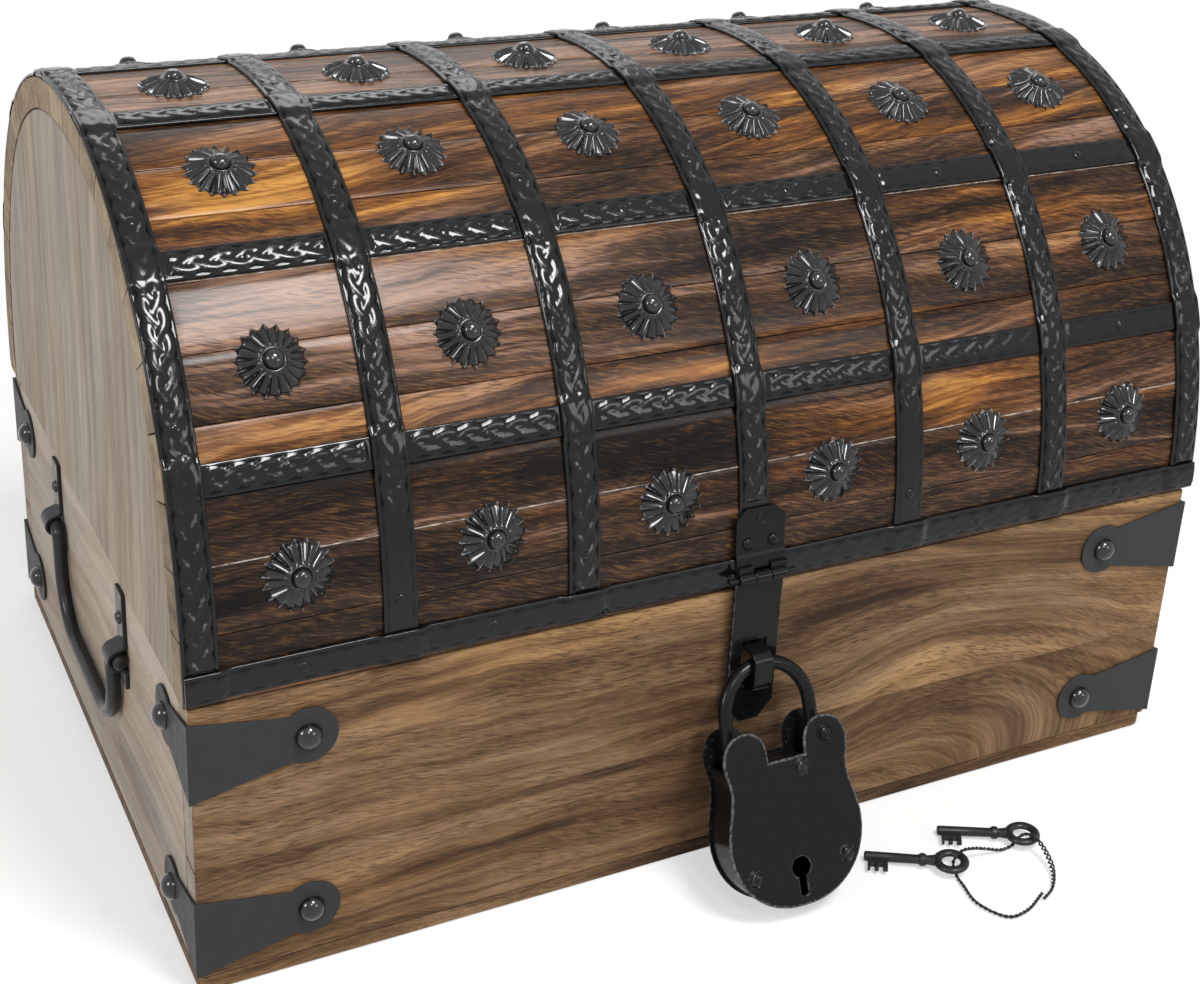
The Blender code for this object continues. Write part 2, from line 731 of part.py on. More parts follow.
def build_lid_ends(crown, materials, hinge):
    strips = strip_arcs(crown)
    edges = [0.0, *strips[1:-1], crown.length]
    arcs = []
    for start, end in zip(edges, edges[1:]):
        arcs += steps_between(start, end, SEGMENTS_BETWEEN_STRIPS)[:-1]
    arcs.append(crown.length)
    outline = [crown.at(arc, -STAVE - GAP) for arc in arcs]
    for name, side in (("left", -1), ("right", 1)):
        near = min(side * LID_WIDTH / 2, side * (LID_WIDTH / 2 - WALL))
        solid = prism([point + X_AXIS * near for point in outline], X_AXIS * WALL)
        add_object(f"lid_end_{name}", solid, materials["end_wood"], hinge, hang(hinge))


def build_straps(crown, materials, hinge):
    """Arched straps: they lie on the staves and step over the lengthwise strips between the border strips."""
    low = GAP
    high = 2 * GAP + SHEET
    reach = STRIP_WIDTH / 2 + GAP
    route = [(STRAP_END_LIFT, low)]
    crossings = strip_arcs(crown)[1:-1]
    for strip in crossings:
        start, end = route[-1][0], strip - reach - STRAP_RAMP
        route += [(arc, low) for arc in steps_between(start, end, SEGMENTS_BETWEEN_STRIPS - 1)[1:]]
        route += [(strip - reach, high), (strip + reach, high), (strip + reach + STRAP_RAMP, low)]
    last = crown.length - STRAP_END_LIFT
    route += [(arc, low) for arc in steps_between(route[-1][0], last, SEGMENTS_BETWEEN_STRIPS - 1)[1:]]
    inner = [crown.at(arc, lift) for arc, lift in route]
    outer = [crown.at(arc, lift + SHEET) for arc, lift in route]
    for i, place_x in enumerate(strap_places()):
        shift = X_AXIS * (place_x - STRAP_WIDTH / 2)
        solid = prism([point + shift for point in inner + outer[::-1]], X_AXIS * STRAP_WIDTH)
        add_object(f"lid_strap_{i + 1}", solid, materials["black_sheet"], hinge, hang(hinge))


def build_strips(crown, materials, hinge):
    """Lengthwise strips: the inner ones lie flat under the straps, the border ones step over their ends."""
    arcs = strip_arcs(crown)
    half_x = LID_WIDTH / 2 - GAP
    low, high = GAP, 2 * GAP + SHEET
    reach = STRAP_WIDTH / 2 + GAP
    for i, arc in enumerate(arcs):
        if i in (0, len(arcs) - 1):
            route = []
            for place_x in strap_places():
                crossing = (
                    (place_x - reach - STRAP_RAMP, low),
                    (place_x - reach, high),
                    (place_x + reach, high),
                    (place_x + reach + STRAP_RAMP, low),
                )
                route += [(x, lift) for x, lift in crossing if abs(x) < half_x]
            route = [(-half_x, high), *route, (half_x, high)]
        else:
            route = [(-half_x, low), (half_x, low)]
        seat, along, outward = crown.frame(arc)
        seat = seat - along * (STRIP_WIDTH / 2)
        inner = [seat + X_AXIS * x + outward * lift for x, lift in route]
        outer = [seat + X_AXIS * x + outward * (lift + SHEET) for x, lift in route]
        solid = prism(inner + outer[::-1], along * STRIP_WIDTH)
        add_object(f"lid_strip_{i + 1}", solid, materials["black_sheet"], hinge, hang(hinge))


# Hinges


def knuckles(axis, spans, radius):
    """Round knuckles along X about an axis, one for each span."""
    return merged(*[rod(axis + X_AXIS * start, axis + X_AXIS * end, radius) for start, end in spans])


def knuckle_spans(centre_x, width, count=3):
    """Equal knuckles across a width, with running gaps between them."""
    edges = steps_between(centre_x - width / 2, centre_x + width / 2, count)
    return [(a + GAP / 2, b - GAP / 2) for a, b in zip(edges, edges[1:])]


def tabs(spans, low, high):
    """Small blocks in the Y-Z plane that tie a leaf to its knuckles, a little narrower than these."""
    blocks = []
    for start, end in spans:
        blocks.append(box((start + GAP / 2, low[0], low[1]), (end - GAP / 2, high[0], high[1])))
    return merged(*blocks)


def leaf_over_border(crown, centre_x, width, start, end, from_back, over):
    """Hinge leaf on the lid: over the border strip at the lift over, then down to the staves or strap."""
    strip = strip_arcs(crown)[0]
    step = strip + STRIP_WIDTH / 2 + GAP
    rest = over - SHEET - GAP
    route = [(start, over), (step, over), (step + STRAP_RAMP, rest), (end, rest)]
    middle = (step + STRAP_RAMP + end) / 2
    route.insert(3, (middle, rest))
    if from_back:
        route = [(crown.length - arc, lift) for arc, lift in route]
    inner = [crown.at(arc, lift) for arc, lift in route]
    outer = [crown.at(arc, lift + LEAF) for arc, lift in route]
    shift = X_AXIS * (centre_x - width / 2)
    return prism([point + shift for point in inner + outer[::-1]], X_AXIS * width)


def build_rear_hinges(crown, materials, hinge):
    axis = rear_axis()
    straps = strap_places()
    places = (("left", (straps[1] + straps[2]) / 2), ("right", (straps[-3] + straps[-2]) / 2))
    back = DEPTH / 2
    over = 2 * GAP + SHEET
    for name, centre_x in places:
        left, middle, right = knuckle_spans(centre_x, REAR_HINGE_WIDTH)
        outside = [left, right]
        base_top = axis.z - BARREL_RADIUS
        low = (centre_x - REAR_HINGE_WIDTH / 2, back + GAP, base_top - REAR_LEAF_LENGTH)
        high = (centre_x + REAR_HINGE_WIDTH / 2, back + GAP + LEAF, base_top - GAP)
        leaf = add_object(f"hinge_base_leaf_{name}", box(low, high), materials["grey_sheet"])
        block = tabs(outside, (back + GAP + SINK, base_top - LEAF), (axis.y, axis.z))
        change(leaf, block, "UNION")
        change(leaf, knuckles(axis, outside, BARREL_RADIUS), "UNION")
        bore = [(left[0] - OVERRUN, right[1] + OVERRUN)]
        change(leaf, knuckles(axis, bore, PIN_RADIUS + PIN_CLEARANCE), "DIFFERENCE")
        start = axis.z + BARREL_RADIUS + GAP - BASE_HEIGHT - LID_SEAM
        solid = leaf_over_border(crown, centre_x, REAR_HINGE_WIDTH, start, REAR_LEAF_LENGTH, True, over)
        lid_leaf = add_object(f"hinge_lid_leaf_{name}", solid, materials["grey_sheet"], hinge, hang(hinge))
        block_low = (back + over + SINK / 2, axis.z)
        block_high = (axis.y, axis.z + BARREL_RADIUS + 2 * LEAF)
        change(lid_leaf, tabs([middle], block_low, block_high), "UNION")
        change(lid_leaf, knuckles(axis, [middle], BARREL_RADIUS), "UNION")
        pin = [(left[0] - REAR_PIN_HEAD, right[1] + REAR_PIN_HEAD)]
        change(lid_leaf, knuckles(axis, pin, PIN_RADIUS), "UNION")


# Hasp


def hasp_axis():
    return Vector((0, -DEPTH / 2 - HASP_AXIS_OFFSET, HASP_AXIS_HEIGHT))


def build_hasp(crown, materials, hinge):
    axis = hasp_axis()
    steel = materials["lock_steel"]
    left, middle, right = knuckle_spans(HASP_X, HASP_WIDTH)
    outside = [left, right]
    over = 3 * GAP + 2 * SHEET
    start = axis.z + BARREL_RADIUS + GAP - BASE_HEIGHT - LID_SEAM
    solid = leaf_over_border(crown, HASP_X, HASP_WIDTH, start, HASP_LEAF_TOP_ARC, False, over)
    leaf = add_object("hasp_lid_leaf", solid, steel, hinge, hang(hinge))
    face = -DEPTH / 2
    block_low = (axis.y, axis.z)
    block_high = (face - over - SINK / 2, axis.z + BARREL_RADIUS + 2 * LEAF)
    change(leaf, tabs(outside, block_low, block_high), "UNION")
    change(leaf, knuckles(axis, outside, BARREL_RADIUS), "UNION")
    pin = [(left[0] - HASP_PIN_OVERHANG, right[1] + HASP_PIN_OVERHANG)]
    change(leaf, knuckles(axis, pin, PIN_RADIUS), "UNION")
    rest = over - SHEET - GAP + LEAF
    rivets = []
    for side in (-1, 1):
        seat, _, outward = crown.frame(HASP_RIVET_ARC)
        seat = seat + outward * rest + X_AXIS * (HASP_X + side * HASP_RIVET_SPACING / 2)
        rivets.append(dome(seat, outward, RIVET_RADIUS, RIVET_HEIGHT))
    change(leaf, merged(*rivets), "UNION")
    change(leaf, clipped_corners(crown), "DIFFERENCE")
    swing = add_empty("hasp_axis", axis - hinge.location, hinge)
    undo = Matrix.Translation(-axis)
    plate = add_object("hasp_plate", hasp_plate_solid(axis), steel, swing, undo)
    inner_y = face - HASP_PLATE_OFFSET
    block = tabs([middle], (axis.y, axis.z - BARREL_RADIUS - LEAF), (inner_y - SINK / 2, axis.z))
    change(plate, block, "UNION")
    change(plate, knuckles(axis, [middle], BARREL_RADIUS), "UNION")
    bore = [(left[0] - OVERRUN, right[1] + OVERRUN)]
    change(plate, knuckles(axis, bore, PIN_RADIUS + PIN_CLEARANCE), "DIFFERENCE")
    change(plate, hasp_slot(inner_y), "DIFFERENCE")


def clipped_corners(crown):
    """Two wedges that clip the upper corners of the hasp's leaf."""
    seat, along, outward = crown.frame(HASP_LEAF_TOP_ARC)
    depth = outward * (4 * SHEET + 2 * LEAF)
    wedges = []
    for side in (-1, 1):
        corner = seat + X_AXIS * (HASP_X + side * HASP_WIDTH / 2)
        reach = HASP_LEAF_CLIP + OVERRUN
        outline = [
            corner + X_AXIS * side * OVERRUN - along * reach,
            corner + X_AXIS * side * OVERRUN + along * OVERRUN,
            corner - X_AXIS * side * reach + along * OVERRUN,
        ]
        wedges.append(prism([point - outward * SINK for point in outline], depth))
    return merged(*wedges)


def hasp_plate_solid(axis):
    half = HASP_WIDTH / 2
    top = axis.z - BARREL_RADIUS - GAP
    tip = axis.z - HASP_LENGTH
    y = -DEPTH / 2 - HASP_PLATE_OFFSET
    outline = [
        (HASP_X - half, top),
        (HASP_X + half, top),
        (HASP_X + half, tip + HASP_TIP_CLIP_HEIGHT),
        (HASP_X + half - HASP_TIP_CLIP, tip),
        (HASP_X - half + HASP_TIP_CLIP, tip),
        (HASP_X - half, tip + HASP_TIP_CLIP_HEIGHT),
    ]
    return prism([Vector((x, y, z)) for x, z in outline], Y_AXIS * -LEAF)


def hasp_slot(inner_y):
    half = STAPLE_WIDTH / 2 + SLOT_SIDE_GAP
    low = (HASP_X - half, inner_y - LEAF - OVERRUN, STAPLE_CENTRE_HEIGHT - STAPLE_HEIGHT / 2 - SLOT_BELOW)
    high = (HASP_X + half, inner_y + OVERRUN, STAPLE_CENTRE_HEIGHT + STAPLE_HEIGHT / 2 + SLOT_ABOVE)
    return box(low, high)


# Padlock, in its own plane: X across, Z up, the front faces -Y, the origin in the bar's centre at the staple


def case_outline():
    height = CASE_BOTTOM - CASE_TOP
    right = [(x * CASE_HALF_WIDTH, -CASE_TOP - t * height) for x, t in CASE_OUTLINE_SHARES]
    left = [(-x, z) for x, z in right[::-1]]
    return right + [(0, -CASE_BOTTOM)] + left


def case_plate(front):
    outer = CASE_DEPTH / 2
    y = -outer if front else outer - CASE_PLATE
    return prism([Vector((x, y, z)) for x, z in case_outline()], Y_AXIS * CASE_PLATE)


def case_band():
    outline = [Vector((x, 0, z)) for x, z in case_outline()]
    path = outline[BAND_SKIP_COUNT:len(outline) - BAND_SKIP_COUNT]
    path = offset_path(path, Y_AXIS, -BAND_INSET)
    depth = CASE_DEPTH - 2 * CASE_PLATE - 2 * GAP
    return bent_sheet(path, Y_AXIS, -BAND_SHEET, depth)


def keyhole():
    y = -CASE_DEPTH / 2 - OVERRUN
    through = Y_AXIS * (CASE_PLATE + 2 * OVERRUN)
    hole = prism(circle(Vector((0, y, -KEYHOLE_DROP)), X_AXIS, Z_AXIS, KEYHOLE_RADIUS, 16), through)
    half = KEYHOLE_SLOT_WIDTH / 2
    slot = box((-half, y, -KEYHOLE_DROP - KEYHOLE_SLOT_LENGTH), (half, y + through.y, -KEYHOLE_DROP))
    return hole, slot


def bolt_tip_x():
    leg_inner = PIVOT_X - 2 * ARCH_RADIUS + BAR_RADIUS
    return leg_inner - NOTCH_DEPTH + BOLT_TIP_GAP


def bolt_guide():
    """Ledge and stop on the back plate that carry the bolt and its spring."""
    back = CASE_DEPTH / 2 - CASE_PLATE + SINK
    front = -BOLT_THICKNESS / 2
    tail = bolt_tip_x() + BOLT_LENGTH
    stop = tail + BOLT_TRAVEL + GAP
    under = -BOLT_DROP - BOLT_HEIGHT - GAP
    outline = [
        Vector((bolt_tip_x() + 2 * NOTCH_DEPTH, front, under)),
        Vector((stop, front, under)),
        Vector((stop, front, -BOLT_DROP)),
        Vector((stop + GUIDE_SHEET, front, -BOLT_DROP)),
        Vector((stop + GUIDE_SHEET, front, under - GUIDE_SHEET)),
        Vector((bolt_tip_x() + 2 * NOTCH_DEPTH, front, under - GUIDE_SHEET)),
    ]
    return prism(outline, Y_AXIS * (back - front))


def notch_floor():
    """Flange of the back plate that closes the case between the ears."""
    half = CASE_OUTLINE_SHARES[0][0] * CASE_HALF_WIDTH
    top = -CASE_TOP - CASE_OUTLINE_SHARES[0][1] * (CASE_BOTTOM - CASE_TOP)
    front = -CASE_DEPTH / 2 + CASE_PLATE + GAP
    back = CASE_DEPTH / 2 - CASE_PLATE + SINK
    return box((-half, front, top - BAND_SHEET - SINK), (half, back, top - SINK))


def shackle_path():
    left = PIVOT_X - 2 * ARCH_RADIUS
    centre = Vector((PIVOT_X - ARCH_RADIUS, 0, -ARCH_RADIUS))
    path = [Vector((left, 0, -LEG_END_DROP))]
    for a in steps_between(math.pi, 0, SHACKLE_ARC_STEPS):
        path.append(centre + ARCH_RADIUS * Vector((math.cos(a), 0, math.sin(a))))
    path.append(Vector((PIVOT_X, 0, -PIVOT_DROP)))
    return path


def build_shackle(materials, hang_point):
    steel = materials["lock_steel"]
    shackle = add_object("lock_shackle", tube(shackle_path(), BAR_RADIUS, SHACKLE_SIDES), steel, hang_point)
    pivot = Vector((PIVOT_X, 0, -PIVOT_DROP))
    half = Y_AXIS * (BAR_RADIUS + SINK)
    change(shackle, rod(pivot - half, pivot + half, EYE_RADIUS), "UNION")
    through = Y_AXIS * CASE_DEPTH
    change(shackle, rod(pivot - through, pivot + through, PIVOT_RADIUS + PIN_CLEARANCE), "DIFFERENCE")
    leg_inner = PIVOT_X - 2 * ARCH_RADIUS + BAR_RADIUS
    hook_top = -BOLT_DROP - BOLT_HEIGHT - HOOK_GAP
    low = (leg_inner - NOTCH_DEPTH, -BAR_RADIUS - OVERRUN, hook_top)
    high = (leg_inner + OVERRUN, BAR_RADIUS + OVERRUN, -BOLT_DROP + GUIDE_SHEET)
    change(shackle, box(low, high), "DIFFERENCE")
    smooth(shackle)


def build_case(materials, pivot_empty):
    steel = materials["lock_steel"]
    undo = Matrix.Translation(-pivot_empty.location)
    front = add_object("lock_front_plate", case_plate(True), steel, pivot_empty, undo)
    inner = CASE_DEPTH / 2 - CASE_PLATE
    face = -CASE_DEPTH / 2
    heads, shanks = [], []
    for share, drop in CASE_RIVETS:
        place = Vector((share * CASE_HALF_WIDTH, 0, -drop))
        heads.append(dome(place + Y_AXIS * face, -Y_AXIS, RIVET_RADIUS, RIVET_HEIGHT))
        shanks.append(rod(place - Y_AXIS * (inner + SINK), place + Y_AXIS * (inner - GAP), PIVOT_RADIUS, 8))
    change(front, merged(*heads), "UNION")
    change(front, merged(*shanks), "UNION")
    hole, slot = keyhole()
    change(front, hole, "DIFFERENCE")
    change(front, slot, "DIFFERENCE")
    pivot = Vector((PIVOT_X, 0, -PIVOT_DROP))
    bore = rod(pivot - Y_AXIS * CASE_DEPTH, pivot + Y_AXIS * CASE_DEPTH, PIVOT_RADIUS + PIN_CLEARANCE)
    change(front, bore, "DIFFERENCE")
    back = add_object("lock_back_plate", case_plate(False), steel, pivot_empty, undo)
    change(back, notch_floor(), "UNION")
    change(back, bolt_guide(), "UNION")
    bore = rod(pivot - Y_AXIS * CASE_DEPTH, pivot + Y_AXIS * CASE_DEPTH, PIVOT_RADIUS + PIN_CLEARANCE)
    change(back, bore, "DIFFERENCE")
    add_object("lock_band", case_band(), steel, pivot_empty, undo)
    reach = Y_AXIS * (CASE_DEPTH / 2 + GAP + SINK)
    rivet = rod(pivot - reach, pivot + reach, PIVOT_RADIUS)
    rivet_obj = add_object("lock_pivot_rivet", rivet, steel, pivot_empty, undo)
    ends = [dome(pivot + side * reach, side * Y_AXIS, RIVET_RADIUS, RIVET_HEIGHT) for side in (-1, 1)]
    change(rivet_obj, merged(*ends), "UNION")


def build_bolt(materials, pivot_empty):
    undo = Matrix.Translation(-pivot_empty.location)
    tip = bolt_tip_x()
    half = BOLT_THICKNESS / 2
    low = (tip, -half + GAP, -BOLT_DROP - BOLT_HEIGHT)
    high = (tip + BOLT_LENGTH, half, -BOLT_DROP)
    add_object("lock_bolt", box(low, high), materials["key_steel"], pivot_empty, undo)
    start = tip + BOLT_LENGTH + GAP + SPRING_WIRE_RADIUS
    end = tip + BOLT_LENGTH + BOLT_TRAVEL - SPRING_WIRE_RADIUS
    count = SPRING_TURNS * SPRING_POINTS_PER_TURN
    centre_z = -BOLT_DROP - BOLT_HEIGHT / 2
    path = []
    for i in range(count + 1):
        a = 2 * math.pi * i / SPRING_POINTS_PER_TURN
        x = start + (end - start) * i / count
        path.append(Vector((x, SPRING_RADIUS * math.cos(a), centre_z + SPRING_RADIUS * math.sin(a))))
    add_object("lock_spring", tube(path, SPRING_WIRE_RADIUS, 5), materials["key_steel"], pivot_empty, undo)


def build_padlock(materials):
    place = Vector((LOCK_X, -DEPTH / 2 - BAR_OFFSET, BAR_HEIGHT))
    hang_point = add_empty("padlock_hang", place, lean=-LOCK_LEAN)
    build_shackle(materials, hang_point)
    pivot_empty = add_empty("padlock_pivot", Vector((PIVOT_X, 0, -PIVOT_DROP)), hang_point)
    build_case(materials, pivot_empty)
    build_bolt(materials, pivot_empty)


# Keys


def key_ring():
    """The bow: a round ring flat in the X-Y plane."""
    solid = bmesh.new()
    rings = []
    for i in range(KEY_RING_STEPS):
        a = 2 * math.pi * i / KEY_RING_STEPS
        out = Vector((math.cos(a), math.sin(a), 0))
        ring = circle(out * KEY_BOW_RADIUS, out, Z_AXIS, KEY_BOW_WIRE, 6)
        rings.append([solid.verts.new(point) for point in ring])
    skin_between(solid, rings + rings[:1], closed=True)
    bmesh.ops.recalc_face_normals(solid, faces=solid.faces)
    return solid


def key_bit():
    """The flat bit beside the shaft near the tip, with two cuts in its outer edge."""
    end = KEY_LENGTH - KEY_BIT_FROM_TIP
    start = end - KEY_BIT_LENGTH
    outer = KEY_BIT_REACH
    inner = outer - KEY_CUT_DEPTH
    first = start + KEY_BIT_LENGTH / 4
    second = start + KEY_BIT_LENGTH * 2 / 3
    outline = [
        (start, 0),
        (start, outer),
        (first, outer),
        (first, inner),
        (first + KEY_CUT_WIDTH, inner),
        (first + KEY_CUT_WIDTH, outer),
        (second, outer),
        (second, inner),
        (second + KEY_CUT_WIDTH, inner),
        (second + KEY_CUT_WIDTH, outer),
        (end, outer),
        (end, 0),
    ]
    return prism([Vector((x, y, -KEY_BIT_SHEET / 2)) for x, y in outline], Z_AXIS * KEY_BIT_SHEET)


def build_keys(materials):
    steel = materials["key_steel"]
    first_bow = Vector((KEYS_X, -DEPTH / 2 - KEYS_AHEAD, 0))
    set_empty = add_empty("key_set", first_bow)
    tip_height = KEY_SHAFT_RADIUS + KEY_FLOOR_GAP
    pitch = math.asin((KEY_BOW_LIFT - tip_height) / KEY_LENGTH)
    for i, heading in enumerate(KEY_HEADINGS):
        key = add_object(f"key_{i + 1}", key_ring(), steel, set_empty)
        key.location = (i * KEY_SPACING_X, i * KEY_SPACING_Y, KEY_BOW_LIFT)
        key.rotation_euler = (0, pitch, heading)
        shaft = rod(X_AXIS * KEY_BOW_RADIUS, X_AXIS * KEY_LENGTH, KEY_SHAFT_RADIUS, 10)
        collar_end = KEY_COLLAR_PLACE + KEY_COLLAR_WIDTH
        collar = rod(X_AXIS * KEY_COLLAR_PLACE, X_AXIS * collar_end, KEY_COLLAR_RADIUS, 10)
        for solid in (shaft, collar, key_bit()):
            helper = change(key, solid, "UNION").modifiers[-1].object
            helper.location = key.location
            helper.rotation_euler = key.rotation_euler
        smooth(key)
    path = smooth_route([Vector(point) for point in WIRE_ROUTE], WIRE_STEPS)
    print("wire length in mm", round(sum((b - a).length for a, b in zip(path, path[1:])) / MM))
    smooth(add_object("key_wire", tube(path, WIRE_RADIUS, 8), steel, set_empty))


def smooth_route(points, steps):
    """A Catmull-Rom curve through the points."""
    ends = [2 * points[0] - points[1], *points, 2 * points[-1] - points[-2]]
    path = []
    for i in range(len(points) - 1):
        a, b, c, d = ends[i : i + 4]
        for s in steps_between(0, 1, steps)[:-1]:
            ease = b * 2 + (c - a) * s + (a * 2 - b * 5 + c * 4 - d) * s**2 + (b * 3 - a - c * 3 + d) * s**3
            path.append(ease / 2)
    return [*path, points[-1]]


def main():
    for obj in list(bpy.data.objects):
        bpy.data.objects.remove(obj)
    materials = make_materials()
    crown = Crown()
    print("arc of the lid in mm", round(crown.length / MM, 1))
    build_base(materials)
    build_corner_brackets(materials)
    build_staple(materials)
    build_handles(materials)
    hinge = add_empty("lid_axis", rear_axis())
    build_lid_panels(crown, materials, hinge)
    build_lid_ends(crown, materials, hinge)
    build_straps(crown, materials, hinge)
    build_strips(crown, materials, hinge)
    build_rear_hinges(crown, materials, hinge)
    build_hasp(crown, materials, hinge)
    build_padlock(materials)
    build_keys(materials)


main()
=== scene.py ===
# %% [markdown]
# A domed wooden treasure chest. The lid is a barrel of narrow staves under seven pressed iron straps and
# eight lengthwise strips, with forty-two flower studs. The base is a plain board box with corner brackets,
# two bail handles, a hasp, an old-fashioned padlock and two keys on a twist of wire.
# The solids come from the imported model, which stays the frame. Each cell below builds the finer piece that
# stands for one of them, in the same place. Lengths are written in millimetres and turned to metres once,
# when a mesh is made.

import math

import bmesh
import bpy
import numpy as np
from mathutils import Matrix, Vector


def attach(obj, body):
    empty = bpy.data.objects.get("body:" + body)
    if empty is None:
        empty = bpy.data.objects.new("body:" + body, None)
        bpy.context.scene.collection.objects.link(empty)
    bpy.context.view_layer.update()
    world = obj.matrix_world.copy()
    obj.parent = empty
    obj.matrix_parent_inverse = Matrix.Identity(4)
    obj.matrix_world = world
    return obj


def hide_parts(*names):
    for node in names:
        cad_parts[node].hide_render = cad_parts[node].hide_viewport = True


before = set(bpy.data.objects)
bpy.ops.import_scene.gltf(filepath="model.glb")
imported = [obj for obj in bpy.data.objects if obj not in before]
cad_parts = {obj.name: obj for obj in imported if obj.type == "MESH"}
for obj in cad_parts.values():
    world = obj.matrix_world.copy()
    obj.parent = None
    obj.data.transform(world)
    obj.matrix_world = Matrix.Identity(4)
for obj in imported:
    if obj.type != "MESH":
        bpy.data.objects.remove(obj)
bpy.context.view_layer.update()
MM = 0.001

# %% [markdown]
# The camera stands in front of the chest, to its left and above, and looks down. Its place was solved from
# corners, studs and rivets of the chest, so the principal point sits above the middle of the picture. The
# shift holds that. A roll of three degrees belongs to the way the picture was taken. A camera looks along
# its own -Z, so its three axes are computed and set as a matrix, with no order of angles to mistake.

# %% Camera
CAMERA_PLACE = Vector((-344.5, -682.6, 489.8)) * MM
CAMERA_HEADING = math.radians(27.915)
CAMERA_TILT = math.radians(22.979)
CAMERA_ROLL = math.radians(3.075)
CAMERA_SENSOR = 36
CAMERA_LENS = 57.68
CAMERA_SHIFT = (-0.0163, -0.1344)
CAMERA_NEAREST = 0.01


def camera_turn():
    """The camera's axes as a rotation, from its heading, tilt and roll."""
    flat = math.cos(CAMERA_TILT)
    east, north = math.sin(CAMERA_HEADING) * flat, math.cos(CAMERA_HEADING) * flat
    forward = Vector((east, north, -math.sin(CAMERA_TILT)))
    right = forward.cross(Vector((0, 0, 1))).normalized()
    up = right.cross(forward)
    rolled_right = right * math.cos(CAMERA_ROLL) + up * math.sin(CAMERA_ROLL)
    rolled_up = up * math.cos(CAMERA_ROLL) - right * math.sin(CAMERA_ROLL)
    return Matrix((rolled_right, rolled_up, -forward)).transposed()


def add_camera():
    camera = bpy.data.objects.new("camera", bpy.data.cameras.new("camera"))
    bpy.context.scene.collection.objects.link(camera)
    camera.matrix_world = Matrix.Translation(CAMERA_PLACE) @ camera_turn().to_4x4()
    camera.data.sensor_width = CAMERA_SENSOR
    camera.data.lens = CAMERA_LENS
    camera.data.shift_x, camera.data.shift_y = CAMERA_SHIFT
    camera.data.clip_start = CAMERA_NEAREST
    return camera


bpy.context.scene.camera = add_camera()
bpy.context.scene.view_settings.view_transform = "Standard"
print("camera to chest in mm:", round(CAMERA_PLACE.length / MM))

# %% [markdown]
# Colours are picked as sRGB hex values, the way a paint chip or a screen shows them. Blender's shaders work
# in linear light, so one function turns them. A material is a graph of nodes. One helper adds a node, sets
# its properties and fills or joins its inputs, so a material reads from top to bottom.

# %% Colour and node helpers


def linear(hex_colour):
    """A colour such as "#7d5f41" as linear RGBA."""
    parts = [int(hex_colour[i : i + 2], 16) / 255 for i in (1, 3, 5)]
    return (*[p / 12.92 if p <= 0.04045 else ((p + 0.055) / 1.055) ** 2.4 for p in parts], 1.0)


def node(tree, kind, wires=None, **settings):
    """Adds one shader node. Settings are its properties; wires go from an input to a value or an output."""
    made = tree.nodes.new("ShaderNode" + kind)
    for key, value in settings.items():
        setattr(made, key, value)
    for key, value in (wires or {}).items():
        if isinstance(value, bpy.types.NodeSocket):
            tree.links.new(value, made.inputs[key])
        else:
            made.inputs[key].default_value = value
    return made


def shades(ramp, stops):
    """Sets a colour ramp's stops: (place, hex colour)."""
    elements = ramp.color_ramp.elements
    while len(elements) < len(stops):
        elements.new(1.0)
    for element, (place, colour) in zip(elements, stops):
        element.position = place
        element.color = linear(colour)
    return ramp.outputs["Color"]


def empty_material(name):
    material = bpy.data.materials.new(name)
    material.use_nodes = True
    material.node_tree.nodes.clear()
    return material, material.node_tree


print("mid brown in linear light:", [round(v, 3) for v in linear("#7d5f41")])

# %% [markdown]
# The boards are mango wood, an orchard hardwood with uneven brown streaks, short dark pores and a wavy
# figure. They are stained brown and rubbed with a satin lacquer. Each board carries attributes that its
# mesh code fills in: "grain" is a place inside the tree (along, across and into the trunk, in metres),
# "tone" makes a board or a patch lighter or darker, and "warmth" turns it from grey brown to golden brown.
# A texture that is stretched along the grain then looks right on every board, at any angle. Real streaks
# have no period, so the figure is five noises of different widths and not a wave.

# %% Streaks of the wood
# Length and width in mm from one dark streak to the next, and strength, layer by layer
STREAK_LAYERS = ((260, 24, 1.1), (120, 6.0, 0.9), (75, 1.6, 0.55), (36, 0.7, 0.3), (65, 15, 0.6))
# How far the streaks wander along, across and into the board, in metres, and how often in a metre
WANDER = (0.0, 0.022, 0.01)
WANDER_SCALE = (9, 22, 22)


def streak(tree, place, length_mm, width_mm, detail=2.0):
    """Noise drawn out along the grain: about this long and wide from a dark streak to the next."""
    scale = (1000 / length_mm, 1000 / width_mm, 1000 / width_mm)
    drawn = node(tree, "Mapping", {"Vector": place, "Scale": scale})
    noise = {"Vector": drawn.outputs[0], "Scale": 1.0, "Detail": detail}
    return node(tree, "TexNoise", noise).outputs["Fac"]


def wandering_grain(tree):
    """The board's place in the tree, pushed about a little so that no streak is quite straight."""
    grain = node(tree, "Attribute", attribute_name="grain").outputs["Vector"]
    slow = node(tree, "Mapping", {"Vector": grain, "Scale": WANDER_SCALE})
    wander = node(tree, "TexNoise", {"Vector": slow.outputs[0], "Scale": 1.0, "Detail": 3.0})
    push = {0: wander.outputs["Color"], 1: WANDER, 2: grain}
    return node(tree, "VectorMath", push, operation="MULTIPLY_ADD").outputs[0]


